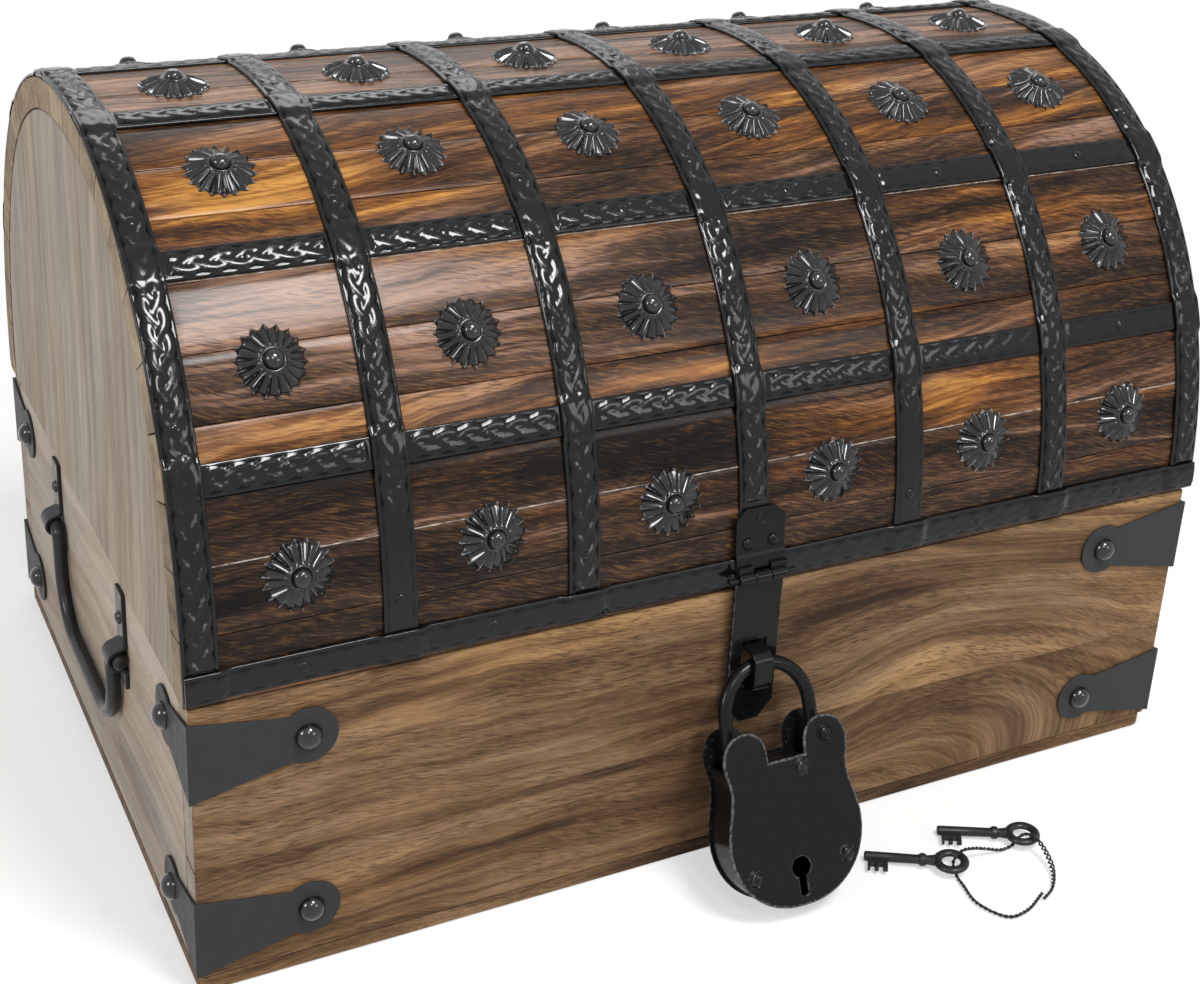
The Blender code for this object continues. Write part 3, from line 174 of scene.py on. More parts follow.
def figure(tree, grain, contrast):
    """The board's tone with every layer of streaks added, and the layers."""
    tone = node(tree, "Attribute", attribute_name="tone").outputs["Fac"]
    total = node(tree, "Math", {0: tone, 1: 0.5}, operation="ADD").outputs[0]
    layers = []
    for length, width, strength in STREAK_LAYERS:
        layers.append(streak(tree, grain, length, width, 4.0))
        centred = node(tree, "Math", {0: layers[-1], 1: 0.5}, operation="SUBTRACT").outputs[0]
        wires = {0: centred, 1: strength * contrast, 2: total}
        total = node(tree, "Math", wires, operation="MULTIPLY_ADD").outputs[0]
    return total, layers


print("streak widths in mm:", sorted(width for _, width, _ in STREAK_LAYERS))

# %% [markdown]
# Mango's pores are short dark dashes. They lie a few degrees off the streaks, as interlocked grain does,
# and crowd together in some zones. Between them the cut wood mirrors a little light, in pale flecks. One
# noise gives both: its peaks are the pores, its hollows the flecks.

# %% Pores of the wood
# Length and width in mm from one pore to the next. Pores come out about 3 mm long, and a little wider than
# real ones, which are 0.2 mm, so that they show.
PORES = (6.0, 0.5)
PORE_ZONES = (70, 22)


def pore_dots(tree, grain, lean):
    """The pores' noise, and how much of a pore there is at a place. Lean is in degrees."""
    turned_grain = {"Vector": grain, "Angle": math.radians(lean)}
    leaned_grain = node(tree, "VectorRotate", turned_grain, rotation_type="Z_AXIS").outputs[0]
    dots = streak(tree, leaned_grain, *PORES, 1.0)
    dark = node(tree, "MapRange", {"Value": dots, "From Min": 0.54, "From Max": 0.64}).outputs[0]
    crowd = streak(tree, grain, *PORE_ZONES)
    crowd = node(tree, "MapRange", {"Value": crowd, "From Min": 0.3, "From Max": 0.56}).outputs[0]
    return dots, node(tree, "Math", {0: dark, 1: crowd}, operation="MULTIPLY").outputs[0]


def with_pores(tree, colour, total, dots, filled, pore_colour, flecks, fleck_colour):
    """The wood's colour with dark stain in its pores and pale flecks between them."""
    stain = {"Factor": filled, 6: colour, 7: linear(pore_colour)}
    colour = node(tree, "Mix", stain, data_type="RGBA").outputs[2]
    pale = node(tree, "MapRange", {"Value": dots, "From Min": 0.46, "From Max": 0.34}).outputs[0]
    pale = node(tree, "Math", {0: pale, 1: flecks}, operation="MULTIPLY").outputs[0]
    pale = node(tree, "Math", {0: pale, 1: total}, operation="MULTIPLY", use_clamp=True).outputs[0]
    gleam = {"Factor": pale, 6: colour, 7: linear(fleck_colour)}
    return node(tree, "Mix", gleam, data_type="RGBA").outputs[2]


print("from one pore to the next in mm:", PORES)

# %% [markdown]
# Stained wood keeps its own streaks, so its colour is a ramp from the darkest streak to the palest wood. A
# board that took the stain unevenly goes from grey brown to golden brown, so there are two ramps, mixed by
# "warmth" and a slow noise. The lacquer is thin: a weak, soft coat over a rough ground, and a very fine
# bump where the pores sink in.

# %% Stained mango wood
WARM_ZONES = (150, 30)
PORE_DEPTH = 0.00011
WOOD_SPECULAR = 0.04
LACQUER_ROUGHNESS = 0.23


def stained_wood(name, cool, warm, contrast, pores, flecks, gloss, roughness, lean=8):
    """Satin-lacquered wood. Cool and warm are ramps from the darkest streak to the palest wood."""
    material, tree = empty_material(name)
    grain = wandering_grain(tree)
    total, layers = figure(tree, grain, contrast)
    greyish = shades(node(tree, "ValToRGB", {"Fac": total}), cool)
    golden = shades(node(tree, "ValToRGB", {"Fac": total}), warm)
    warmth = node(tree, "Attribute", attribute_name="warmth").outputs["Fac"]
    zones = streak(tree, grain, *WARM_ZONES)
    zones = node(tree, "Math", {0: zones, 1: warmth}, operation="ADD").outputs[0]
    mixing = node(tree, "MapRange", {"Value": zones, "From Min": 0.4, "From Max": 0.66}).outputs[0]
    colour = node(tree, "Mix", {"Factor": mixing, 6: greyish, 7: golden}, data_type="RGBA").outputs[2]
    dots, dark = pore_dots(tree, grain, lean)
    filled = node(tree, "Math", {0: dark, 1: pores}, operation="MULTIPLY").outputs[0]
    colour = with_pores(tree, colour, total, dots, filled, cool[0][1], flecks, warm[-1][1])
    ridges = node(tree, "Math", {0: layers[2], 1: 0.5}, operation="MULTIPLY").outputs[0]
    height = node(tree, "Math", {0: ridges, 1: dark}, operation="SUBTRACT").outputs[0]
    bump = node(tree, "Bump", {"Height": height, "Strength": 0.6, "Distance": PORE_DEPTH}).outputs[0]
    uneven = {"Value": layers[0], "From Min": 0.35, "From Max": 0.65, "To Min": roughness - 0.05}
    uneven["To Max"] = roughness + 0.07
    shader = {"Base Color": colour, "Normal": bump, "IOR": 1.5, "Specular IOR Level": WOOD_SPECULAR}
    shader["Roughness"] = node(tree, "MapRange", uneven).outputs[0]
    shader["Coat Weight"] = gloss
    shader["Coat Roughness"] = LACQUER_ROUGHNESS
    principled = node(tree, "BsdfPrincipled", shader)
    node(tree, "OutputMaterial", {"Surface": principled.outputs[0]})
    return material


# The cool ramp's palest stops are greyish pink tan, the colour of the painted highlight and sheen patches
LID_COOL = ((0.16, "#060302"), (0.34, "#22160f"), (0.56, "#3e2b20"), (0.74, "#765a4b"), (0.94, "#8f7466"))
LID_WARM = ((0.20, "#0b0502"), (0.38, "#2b170b"), (0.55, "#513015"), (0.68, "#794b20"), (0.86, "#b07e3e"))
BASE_COOL = ((0.20, "#30231a"), (0.42, "#57422f"), (0.60, "#785f47"), (0.85, "#957b5f"))
BASE_WARM = ((0.20, "#322317"), (0.42, "#5f462e"), (0.60, "#856746"), (0.85, "#aa8a60"))
SIDE_COOL = ((0.15, "#574c45"), (0.40, "#7d726a"), (0.62, "#978d82"), (0.90, "#ada398"))
SIDE_WARM = ((0.15, "#554638"), (0.40, "#7b6b5b"), (0.62, "#988775"), (0.90, "#b1a08b"))
END_COOL = ((0.15, "#5c4d3f"), (0.40, "#7f6e5b"), (0.62, "#97866f"), (0.90, "#ae9c84"))

# The lid's staves are stained darkest, and their figure is strongest
look = {"contrast": 1.0, "pores": 0.6, "flecks": 0.3, "gloss": 0.25, "roughness": 0.36, "lean": 12}
LID_WOOD = stained_wood("stained mango staves", LID_COOL, LID_WARM, **look)
# The base boards are paler, with many short pores
look = {"contrast": 0.66, "pores": 0.6, "flecks": 0.25, "gloss": 0.06, "roughness": 0.46, "lean": 9}
BASE_WOOD = stained_wood("stained mango base boards", BASE_COOL, BASE_WARM, **look)
# The end boards took less stain and look greyer. Their pale grey is also a painted sheen:
# the white background mirrored at a grazing angle
look = {"contrast": 0.66, "pores": 0.25, "flecks": 0.1, "gloss": 0.05, "roughness": 0.5, "lean": 4}
SIDE_WOOD = stained_wood("thinly stained mango end boards with painted sheen", SIDE_COOL, SIDE_WARM, **look)
# Cut ends of the staves, almost unstained
look = {"contrast": 0.6, "pores": 0.3, "flecks": 0.1, "gloss": 0.02, "roughness": 0.6}
END_GRAIN = stained_wood("mango end grain", END_COOL, END_COOL, **look)
print("woods:", [m.name for m in (LID_WOOD, BASE_WOOD, SIDE_WOOD, END_GRAIN)])

# %% [markdown]
# Some glue lines between staves are filled with pale putty, which is wood dust in glue. It dries matt and
# crumbly, so it is one noise between two dusty shades, with no lacquer.

# %% Pale wood filler
CRUMBS = 260.0  # crumbs in a metre, so one about every 4 mm
FILLER_SHADES = ((0.35, "#5d5046"), (0.65, "#b3aaa0"))


def filler():
    material, tree = empty_material("pale wood filler")
    place = node(tree, "TexCoord").outputs["Object"]
    crumbs = node(tree, "TexNoise", {"Vector": place, "Scale": CRUMBS, "Detail": 3.0}).outputs["Fac"]
    colour = shades(node(tree, "ValToRGB", {"Fac": crumbs}), FILLER_SHADES)
    principled = node(tree, "BsdfPrincipled", {"Base Color": colour, "Roughness": 0.7})
    node(tree, "OutputMaterial", {"Surface": principled.outputs[0]})
    return material


FILLER = filler()
print("filler:", FILLER.name)

# %% [markdown]
# The ironwork is thin mild steel sheet under black lacquer. A lacquer is a clear or tinted film, so it is
# not a metal to the eye: it has a white highlight and no coloured reflection. Small unevenness in the film
# breaks the highlight up. Two attributes belong to it. The one for wear is where the black has rubbed off
# an edge; on the crest of the straps' braid and on the ridges and rims of the studs it is a painted
# highlight, the pale worn colour laid where light catches. The one for grooves is painted shade: at the
# bottom of a pressed pattern and in the crease of a stud's nail the colour is black and the coat dull.
# Where a mesh has no such attribute, it reads as zero.

# %% Lacquered and blackened steel
# Painted shade: the black laid in the grooves of pressed sheet and in the crease of a stud's nail
PAINTED_SHADE_BLACK = "#060607"
GRIT = 700.0  # specks in a metre of rubbed edge, so one about every 1.4 mm
COAT_ROUGHNESS = 0.12


def finish_colour(tree, colours, place, clouds, painted_groove_shade):
    """Two cloudy shades, black painted shade in the grooves, the worn colour on worn edges and painted
    highlights.
    """
    wear_and_highlight = node(tree, "Attribute", attribute_name="wear_and_highlight").outputs["Fac"]
    grit = node(tree, "TexNoise", {"Vector": place, "Scale": GRIT, "Detail": 3.0}).outputs["Fac"]
    # The third colour shows where the finish is rubbed and where a highlight is painted on a ridge
    rubbed_and_highlit = node(tree, "Math", {0: wear_and_highlight, 1: grit}, operation="MULTIPLY").outputs[0]
    rubbed_and_highlit = node(tree, "MapRange", {"Value": rubbed_and_highlit, "From Min": 0.25, "From Max": 0.6}).outputs[0]
    colour = linear(colours[0])
    for share, shade in ((clouds, colours[1]), (painted_groove_shade, PAINTED_SHADE_BLACK), (rubbed_and_highlit, colours[2])):
        mixed = {"Factor": share, 6: colour, 7: linear(shade)}
        colour = node(tree, "Mix", mixed, data_type="RGBA").outputs[2]
    return colour


def coated_steel(
    name, colours, roughness, coat, gloss, metallic=0.0, mottle_mm=6.0, dent=0.00004, pressed=False
):
    """Steel sheet under a thin finish. Its colours are two shades and that of worn edges and painted
    highlights.
    """
    material, tree = empty_material(name)
    place = node(tree, "TexCoord").outputs["Object"]
    cloud = {"Vector": place, "Scale": 1 / (mottle_mm * MM), "Detail": 2.0, "Roughness": 0.5}
    clouds = node(tree, "TexNoise", cloud).outputs["Fac"]
    painted_groove_shade = node(tree, "Attribute", attribute_name="painted_groove_shade").outputs["Fac"]
    uneven = {"Value": clouds, "From Min": 0.3, "From Max": 0.7, "To Min": roughness - 0.07}
    uneven["To Max"] = roughness + 0.07
    bump = node(tree, "Bump", {"Height": clouds, "Strength": 0.6, "Distance": dent}).outputs[0]
    shader = {"Normal": bump, "Metallic": metallic, "Specular IOR Level": gloss}
    shader["Base Color"] = finish_colour(tree, colours, place, clouds, painted_groove_shade)
    shader["Roughness"] = node(tree, "MapRange", uneven).outputs[0]
    shader["Coat Weight"] = coat
    # On pressed sheet the coat is dulled in the grooves, which is painted shade too
    if pressed:
        coat_dulled_as_shade = {"Value": painted_groove_shade, "To Min": coat, "To Max": 0.1 * coat}
        shader["Coat Weight"] = node(tree, "MapRange", coat_dulled_as_shade).outputs[0]
    shader["Coat Roughness"] = COAT_ROUGHNESS
    principled = node(tree, "BsdfPrincipled", shader)
    node(tree, "OutputMaterial", {"Surface": principled.outputs[0]})
    return material


# Pressed straps: black lacquer, wet-looking on the raised braid; the pale third colour
# is a painted highlight on the braid's crest
look = {"roughness": 0.24, "coat": 0.54, "gloss": 0.02, "pressed": True}
STRAP_BLACK = coated_steel("black lacquered pressed strap", ("#08090a", "#0e0f11", "#77797e"), **look)
# Flower studs: the same lacquer, a little glossier; the pale third colour is a painted
# highlight on the ridges and the rim
look = {"roughness": 0.26, "coat": 0.95, "gloss": 0.1, "metallic": 0.15, "pressed": True}
STUD_BLACK = coated_steel("black lacquered stamped stud", ("#0b0c0d", "#131416", "#a4a7ac"), **look)
# Corner brackets: flat dark grey paint
look = {"roughness": 0.5, "coat": 0.03, "gloss": 0.13}
BRACKET_GREY = coated_steel("dark grey painted bracket", ("#292a2b", "#313234", "#5a5a5a"), **look)
# Bail handles: forged bar, dark and satin
look = {"roughness": 0.34, "coat": 0.14, "gloss": 0.2, "metallic": 0.1, "mottle_mm": 3.0}
HANDLE_IRON = coated_steel("blackened forged bar", ("#1a1b1c", "#272728", "#6a6a68"), **look)
# Padlock: matte black with rubbed edges
look = {"roughness": 0.28, "coat": 0.2, "gloss": 0.06, "mottle_mm": 4.0}
LOCK_BLACK = coated_steel("matte black padlock steel", ("#0b0c0d", "#111213", "#5c5d5c"), **look)
# Keys and wire: dark grey iron
look = {"roughness": 0.34, "coat": 0.12, "gloss": 0.2, "metallic": 0.3, "mottle_mm": 1.5, "dent": 0.00003}
KEY_IRON = coated_steel("dark key iron", ("#1f2022", "#2e2f31", "#7a7a78"), **look)
print("steels:", [m.name for m in (STRAP_BLACK, STUD_BLACK, BRACKET_GREY, HANDLE_IRON, LOCK_BLACK, KEY_IRON)])

# %% [markdown]
# Most pieces here are sweeps: a section carried along a line. So the mesh helpers work on rings of points.
# A loft joins equal rings with quads. Each helper gives (points, faces), and a piece joins any number of
# them. Blender's own curves with a bevel could do some of it, but rings let the code fill in attributes by
# place.

# %% Lofts and blocks


def loft(rings, caps=True):
    """Points and faces of a skin over equal rings. The caps are one flat face at each end."""
    count = len(rings[0])
    points = np.concatenate([np.asarray(ring, float) for ring in rings])
    faces = []
    for row in range(len(rings) - 1):
        for i in range(count):
            j = (i + 1) % count
            low, high = row * count, (row + 1) * count
            faces.append((low + i, low + j, high + j, high + i))
    if caps:
        last = (len(rings) - 1) * count
        faces.append(tuple(range(count))[::-1])
        faces.append(tuple(range(last, last + count)))
    return points, faces


def joined(*parts):
    """Several (points, faces) as one."""
    points, faces, shift = [], [], 0
    for part_points, part_faces in parts:
        points.append(part_points)
        faces += [tuple(i + shift for i in face) for face in part_faces]
        shift += len(part_points)
    return np.concatenate(points), faces


def block(low, high):
    (x0, y0, z0), (x1, y1, z1) = low, high
    ring = [(x0, y0), (x1, y0), (x1, y1), (x0, y1)]
    return loft([[(x, y, z0) for x, y in ring], [(x, y, z1) for x, y in ring]])


print("faces of a block:", len(block((0, 0, 0), (1, 1, 1))[1]))

# %% [markdown]
# A tube carries a circle along a path, for bars and wire. Its radius may change on the way, so a bar's tip
# can be rounded. A turned shape carries a profile round an axis, as on a lathe, for nail heads and rivets.

# %% Tubes and turned shapes


def unit(vector):
    vector = np.asarray(vector, float)
    return vector / np.linalg.norm(vector)


def sideways(direction):
    """A unit vector square to a direction."""
    helper = (0, 0, 1) if abs(direction[2]) < 0.9 else (1, 0, 0)
    return unit(np.cross(helper, direction))


def tube(path, radius, sides=16):
    """A round bar along a path; the radius may differ from point to point."""
    path = np.asarray(path, float)
    radii = np.broadcast_to(radius, len(path))
    across = sideways(unit(path[1] - path[0]))
    turns = np.linspace(0, 2 * np.pi, sides, endpoint=False)
    rings = []
    for i, point in enumerate(path):
        along = unit(path[min(i + 1, len(path) - 1)] - path[max(i - 1, 0)])
        across = unit(across - along * across.dot(along))
        up = np.cross(along, across)
        circle = np.outer(np.cos(turns), across) + np.outer(np.sin(turns), up)
        rings.append(point + radii[i] * circle)
    return loft(rings)


def turned(profile, seat, outward, sides=28):
    """A turned shape on a seat: the profile is (radius, lift) from its foot to its top."""
    outward = unit(outward)
    across = sideways(outward)
    up = np.cross(outward, across)
    turns = np.linspace(0, 2 * np.pi, sides, endpoint=False)
    circle = np.outer(np.cos(turns), across) + np.outer(np.sin(turns), up)
    return loft([np.asarray(seat, float) + outward * lift + circle * radius for radius, lift in profile])


print("points of a short bar:", len(tube([(0, 0, 0), (0, 0, 9)], 2)[0]))

# %% [markdown]
# Bent sheet, such as a lug or a staple, has a flat path for its bends, a thickness and a width. The path's
# other side is the same path moved sideways, with mitred corners so that the sheet keeps its thickness.

# %% Bent sheet


def offset(path, distance):
    """A flat path moved to its left by a distance, with mitred corners."""
    path = np.asarray(path, float)
    steps = np.diff(path, axis=0)
    steps /= np.linalg.norm(steps, axis=1)[:, None]
    lefts = np.stack([-steps[:, 1], steps[:, 0]], axis=1)
    before = np.vstack([lefts[:1], lefts])
    after = np.vstack([lefts, lefts[-1:]])
    side = before + after
    side /= np.linalg.norm(side, axis=1)[:, None]
    return path + side * (distance / np.sum(side * after, axis=1))[:, None]


def arc(centre, radius, start, end, count):
    """Points on a flat arc, from one angle in degrees to another."""
    turns = np.radians(np.linspace(start, end, count))
    return [(centre[0] + radius * math.cos(t), centre[1] + radius * math.sin(t)) for t in turns]


def bent_sheet(path, thickness, place, low, high):
    """Sheet bent along a flat path; place turns (u, v, w) into a point, and w runs from low to high."""
    outline = np.vstack([path, offset(path, thickness)[::-1]])
    return loft([[place(u, v, w) for u, v in outline] for w in (low, high)])


print("a quarter circle's end:", [round(float(v), 3) for v in arc((0, 0), 1, 0, 90, 5)[-1]])

# %% [markdown]
# A piece is a mesh object that knows three things: what it is made of, which body it moves with, and which
# solids it stands for. Narrow bevels round its edges, because no edge of a real board or sheet is sharp,
# and it is that rounding that catches the light.

# %% Make a piece
HARD_EDGE = 38  # degrees between two faces from which shading breaks
BEVELLED_EDGE = 35  # degrees from which an edge is eased
BEVEL_SEGMENTS = 2


def new_mesh(name, shape, material, attributes):
    """A mesh in metres from (points, faces) in millimetres, with an attribute value for each point."""
    points, faces = shape
    mesh = bpy.data.meshes.new(name)
    mesh.from_pydata((np.asarray(points) * MM).tolist(), [], faces)
    for key, values in (attributes or {}).items():
        values = np.asarray(values, np.float32)
        kind = "FLOAT_VECTOR" if values.ndim == 2 else "FLOAT"
        layer = mesh.attributes.new(key, kind, "POINT")
        layer.data.foreach_set("vector" if values.ndim == 2 else "value", values.ravel())
    mesh.materials.append(material)
    shell = bmesh.new()
    shell.from_mesh(mesh)
    bmesh.ops.recalc_face_normals(shell, faces=shell.faces)
    shell.to_mesh(mesh)
    shell.free()
    return mesh


def ease_edges(made, width):
    modifier = made.modifiers.new("eased edges", "BEVEL")
    modifier.width = width * MM
    modifier.segments = BEVEL_SEGMENTS
    modifier.limit_method = "ANGLE"
    modifier.angle_limit = math.radians(BEVELLED_EDGE)
    modifier.harden_normals = True


def piece(name, shape, material, body, nodes, slot, bevel=0.0, sharp=HARD_EDGE, attributes=None):
    """Adds a mesh object from (points, faces) in millimetres, in place of the named solids."""
    mesh = new_mesh(name, shape, material, attributes)
    mesh.shade_smooth()
    mesh.set_sharp_from_angle(angle=math.radians(sharp))
    made = bpy.data.objects.new(name, mesh)
    bpy.context.scene.collection.objects.link(made)
    if bevel:
        ease_edges(made, bevel)
    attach(made, body)
    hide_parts(*nodes)
    return made


print("edges are eased in", BEVEL_SEGMENTS, "steps")

# %% [markdown]
# A board's attributes are worked out from places on the board itself. A seed sends each board to its own
# spot in the tree, so that no two boards show the same figure. Faces that look along the board are cut ends
# and take a second material.

# %% Boards
CUT_END = 0.9  # a face is a cut end if its normal's share along X is larger


def board_attributes(along, across, depth, lean, seed, tone, warmth=0.0):
    """The grain and shade of a board. Its grain leans by some degrees."""
    turn = math.radians(lean)
    spot = np.random.default_rng(seed).uniform(0, 4, 3)
    u = np.asarray(along, float) * MM
    v = np.asarray(across, float) * MM
    w = np.broadcast_to(np.asarray(depth, float) * MM, u.shape)
    leaned_u = u * math.cos(turn) + v * math.sin(turn)
    leaned_v = v * math.cos(turn) - u * math.sin(turn)
    looks = {"grain": np.stack([leaned_u, leaned_v, w], axis=1) + spot}
    for key, value in (("tone", tone), ("warmth", warmth)):
        looks[key] = np.broadcast_to(np.asarray(value, float), u.shape)
    return looks


def cut_ends(made, material):
    """Gives a board's two ends their own material."""
    made.data.materials.append(material)
    for polygon in made.data.polygons:
        if abs(polygon.normal.x) > CUT_END:
            polygon.material_index = 1


print("board attributes:", list(board_attributes([0], [0], [0], 0, 1, 0)))

# %% [markdown]
# The lid's section is a superellipse, a little squarer than a half circle: it leaves the base upright and
# is flattest on top. Everything on the lid is placed by its arc length from the front seam, over the top,
# to the back seam. The curve is sampled finely once and then read by interpolation.

# %% The lid's curve
HALF_DEPTH = 148.0
SEAT = 119.45
LID_RISE = 170.0
CROWN_POWER = 2 / 2.15

crown_turn = np.linspace(0, np.pi, 6001)
crown_cos, crown_sin = np.cos(crown_turn), np.maximum(np.sin(crown_turn), 0)
CROWN_Y = -HALF_DEPTH * np.sign(crown_cos) * np.abs(crown_cos) ** CROWN_POWER
CROWN_Z = SEAT + LID_RISE * crown_sin**CROWN_POWER
CROWN_ARC = np.concatenate([[0], np.cumsum(np.hypot(np.diff(CROWN_Y), np.diff(CROWN_Z)))])
CROWN_LENGTH = CROWN_ARC[-1]
CROWN_DY = np.gradient(CROWN_Y, CROWN_ARC)
CROWN_DZ = np.gradient(CROWN_Z, CROWN_ARC)


def crown_frame(place):
    """Point, direction of travel and outward direction in the Y-Z plane at an arc length."""
    at = [np.interp(place, CROWN_ARC, values) for values in (CROWN_Y, CROWN_Z, CROWN_DY, CROWN_DZ)]
    along = np.stack([at[2], at[3]], axis=-1)
    along /= np.linalg.norm(along, axis=-1, keepdims=True)
    outward = np.stack([-along[..., 1], along[..., 0]], axis=-1)
    return np.stack([at[0], at[1]], axis=-1), along, outward


def on_crown(x, place, lift):
    """Points on the lid: x across the chest, arc length and lift above the staves."""
    point, _, outward = crown_frame(place)
    yz = point + outward * np.asarray(lift, float)[..., None]
    x = np.broadcast_to(np.asarray(x, float), yz.shape[:-1])
    return np.concatenate([x[..., None], yz], axis=-1)


print("arc over the lid in mm:", round(CROWN_LENGTH, 1))

# %% [markdown]
# Straps, strips and studs share one layout, which is the same at the back as at the front. Strips and studs
# are placed by their share of the way from the front seam to the top, straps by their distance from the
# middle. A panel is the strip of staves between two neighbouring strips.

# %% Layout of the lid
LID_HALF_WIDTH = 216.5
STRAP_WIDTH = 12.5
STRIP_SHARES = (0.030, 0.308, 0.593, 0.872)
STUD_SHARES = (0.163, 0.447, 0.740, 0.978)  # the last one is on top, and has no mirror image

STRIP_ARCS = [share * CROWN_LENGTH / 2 for share in STRIP_SHARES]
STRIP_ARCS += [CROWN_LENGTH - place for place in STRIP_ARCS[::-1]]
STUD_ARCS = [share * CROWN_LENGTH / 2 for share in STUD_SHARES]
STUD_ARCS += [CROWN_LENGTH - place for place in STUD_ARCS[:3][::-1]]
PANEL_EDGES = [0.0, *STRIP_ARCS[1:-1], CROWN_LENGTH]
STRAP_XS = [-210.25 + 70.0833 * i for i in range(7)]
STUD_XS = [(a + b) / 2 for a, b in zip(STRAP_XS, STRAP_XS[1:])]
print("strips, straps and rows of studs:", len(STRIP_ARCS), len(STRAP_XS), len(STUD_ARCS))

# %% [markdown]
# The lid is coopered: narrow staves, about 24 mm wide and 12 mm thick, are glued side by side over the
# curve and sanded round. The glue lines show as thin dark seams, because each stave's edge is eased. One
# curved sheet with painted lines would look flat there, so each stave is its own board with its own grain
# and tone. The staves also have patches of darker and warmer wood that run over several of them, and two
# patches of painted light: a pale highlight high on the left of the front slope, and a paler, greyer
# sheen over the top, where the lacquer mirrors the light. They are soft round spots, in a table.

# %% Tones of the staves
STAVE_COUNT = 21
# Lean of the grain in degrees and tone, stave by stave from the front seam to the back
STAVE_LEANS = (1, -3, 2, 4, -2, 3, 6, 9, 7, -3, 2, -2, 4, -5, 3, 2, -4, 1, 3, -2, 2)
STAVE_TONES = (
    *(-0.07, -0.12, -0.10, -0.02, 0.0, 0.0, -0.02, -0.02, 0.04, 0.02, 0.05),
    *(-0.03, 0.03, -0.05, 0.04, 0.0, -0.04, 0.06, 0.0, -0.04, 0.02),
)
# Patches on the lid: middle (x, arc length), size (x, arc length), tone and warmth. Two are painted light,
# marked below
LID_PATCHES_AND_PAINTED_SHEEN = (
    *((-44, 64, 34, 11, -0.42, -0.10), (-12, 60, 16, 14, -0.20, 0.0), (62, 52, 26, 12, -0.14, 0.0)),
    *((-84, 62, 12, 8, -0.24, 0.0), (-115, 60, 22, 9, 0.02, 0.08), (60, 95, 60, 12, 0.05, 0.14)),
    *((-60, 84, 60, 7, 0.03, 0.14), (150, 100, 50, 20, -0.06, 0.06), (130, 130, 40, 12, 0.02, 0.16)),
    *((-170, 30, 60, 26, -0.04, -0.26), (-40, 22, 110, 18, -0.03, -0.22), (130, 22, 90, 12, 0.0, -0.06)),
    *((20, 150, 60, 16, -0.08, 0.06), (-150, 165, 60, 12, 0.03, 0.08), (-60, 120, 150, 12, 0.0, -0.08)),
    *((-180, 84, 40, 13, -0.20, -0.02), (100, 178, 60, 14, -0.04, 0.12), (-165, 190, 60, 30, 0.08, 0.18)),
    *((0, 114, 62, 26, -0.12, 0.0), (-160, 186, 50, 22, 0.05, 0.05), (-30, 60, 36, 12, -0.16, -0.1)),
    # The first patch below, pale and greyish, is a painted highlight: the key light's wash on the lacquer
    *((-160, 126, 84, 20, 0.32, -0.32), (-110, 84, 60, 9, 0.04, 0.12), (-40, 40, 40, 16, -0.05, 0.0)),
    # The last patch below, over the whole top, is a painted reflection: the sky mirrored, paler and greyer
    *((-120, 186, 110, 26, 0.03, 0.12), (60, 184, 90, 24, 0.0, 0.10), (0, 248, 500, 22, 0.12, -0.22)),
)


def lid_shade(x, place):
    """Tone and warmth of the staves at a place on the lid, with the painted highlight and sheen."""
    tone, warmth = np.zeros(np.shape(x)), np.zeros(np.shape(x))
    for middle_x, middle, size_x, size, darker, golden in LID_PATCHES_AND_PAINTED_SHEEN:
        weight = np.exp(-(((x - middle_x) / size_x) ** 2) - ((place - middle) / size) ** 2)
        tone += darker * weight
        warmth += golden * weight
    return tone, warmth


print("patches on the lid:", len(LID_PATCHES_AND_PAINTED_SHEEN))

# %% [markdown]
# A stave's section is a thin slice of the lid's ring, wide on the outside. It is carried along X in short
# steps, not in one, because the patches need points to hold their tones. The last ring at each end is drawn
# in a little, which eases the cut end.

# %% Staves
STAVE = 12.0
SEAM = 0.16
# How a stave's long edge is eased: (distance from the edge, height)
STAVE_EASE = ((0.0, -0.6), (0.14, -0.2))
STAVE_STATIONS = 28
STAVE_SEED = 40


def stave_section(start, end):
    """Section between two arc lengths, as (arc length, height over the lid's curve)."""
    steps = np.linspace(start + 0.5, end - 0.5, 8)
    outer = [(start + u, v) for u, v in STAVE_EASE]
    outer += [(s, 0.0) for s in steps]
    outer += [(end - u, v) for u, v in STAVE_EASE[::-1]]
    inner = [(s, -STAVE) for s in np.linspace(end, start, 6)]
    return np.array(outer + inner)


def stave(number, start, end):
    """One stave between two arc lengths, with eased long edges and slightly eased ends."""
    section = stave_section(start, end)
    pulled = section.mean(axis=0) - section
    eased = section + 0.3 * pulled / np.linalg.norm(pulled, axis=1)[:, None]
    rings, along = [], []
    inner_stations = np.linspace(-LID_HALF_WIDTH + 0.4, LID_HALF_WIDTH - 0.4, STAVE_STATIONS)
    for x in (-LID_HALF_WIDTH, *inner_stations, LID_HALF_WIDTH):
        shape = eased if abs(x) == LID_HALF_WIDTH else section
        rings.append(on_crown(x, shape[:, 0], shape[:, 1]))
        along.append(np.full(len(section), x))
    along = np.concatenate(along)
    across = np.tile(section[:, 0], len(rings))
    depth = np.tile(section[:, 1], len(rings))
    tone, warmth = lid_shade(along, across)
    tone += STAVE_TONES[number]
    looks = board_attributes(along, across, depth, STAVE_LEANS[number], STAVE_SEED + number, tone, warmth)
    panels = enumerate(zip(PANEL_EDGES, PANEL_EDGES[1:]), 1)
    nodes = [f"lid_panel_{i}" for i, (low, high) in panels if start < high and end > low]
    name = f"stave_{number + 1:02d}"
    made = piece(name, loft(rings), LID_WOOD, "lid", nodes, "lid_wood", attributes=looks)
    cut_ends(made, END_GRAIN)


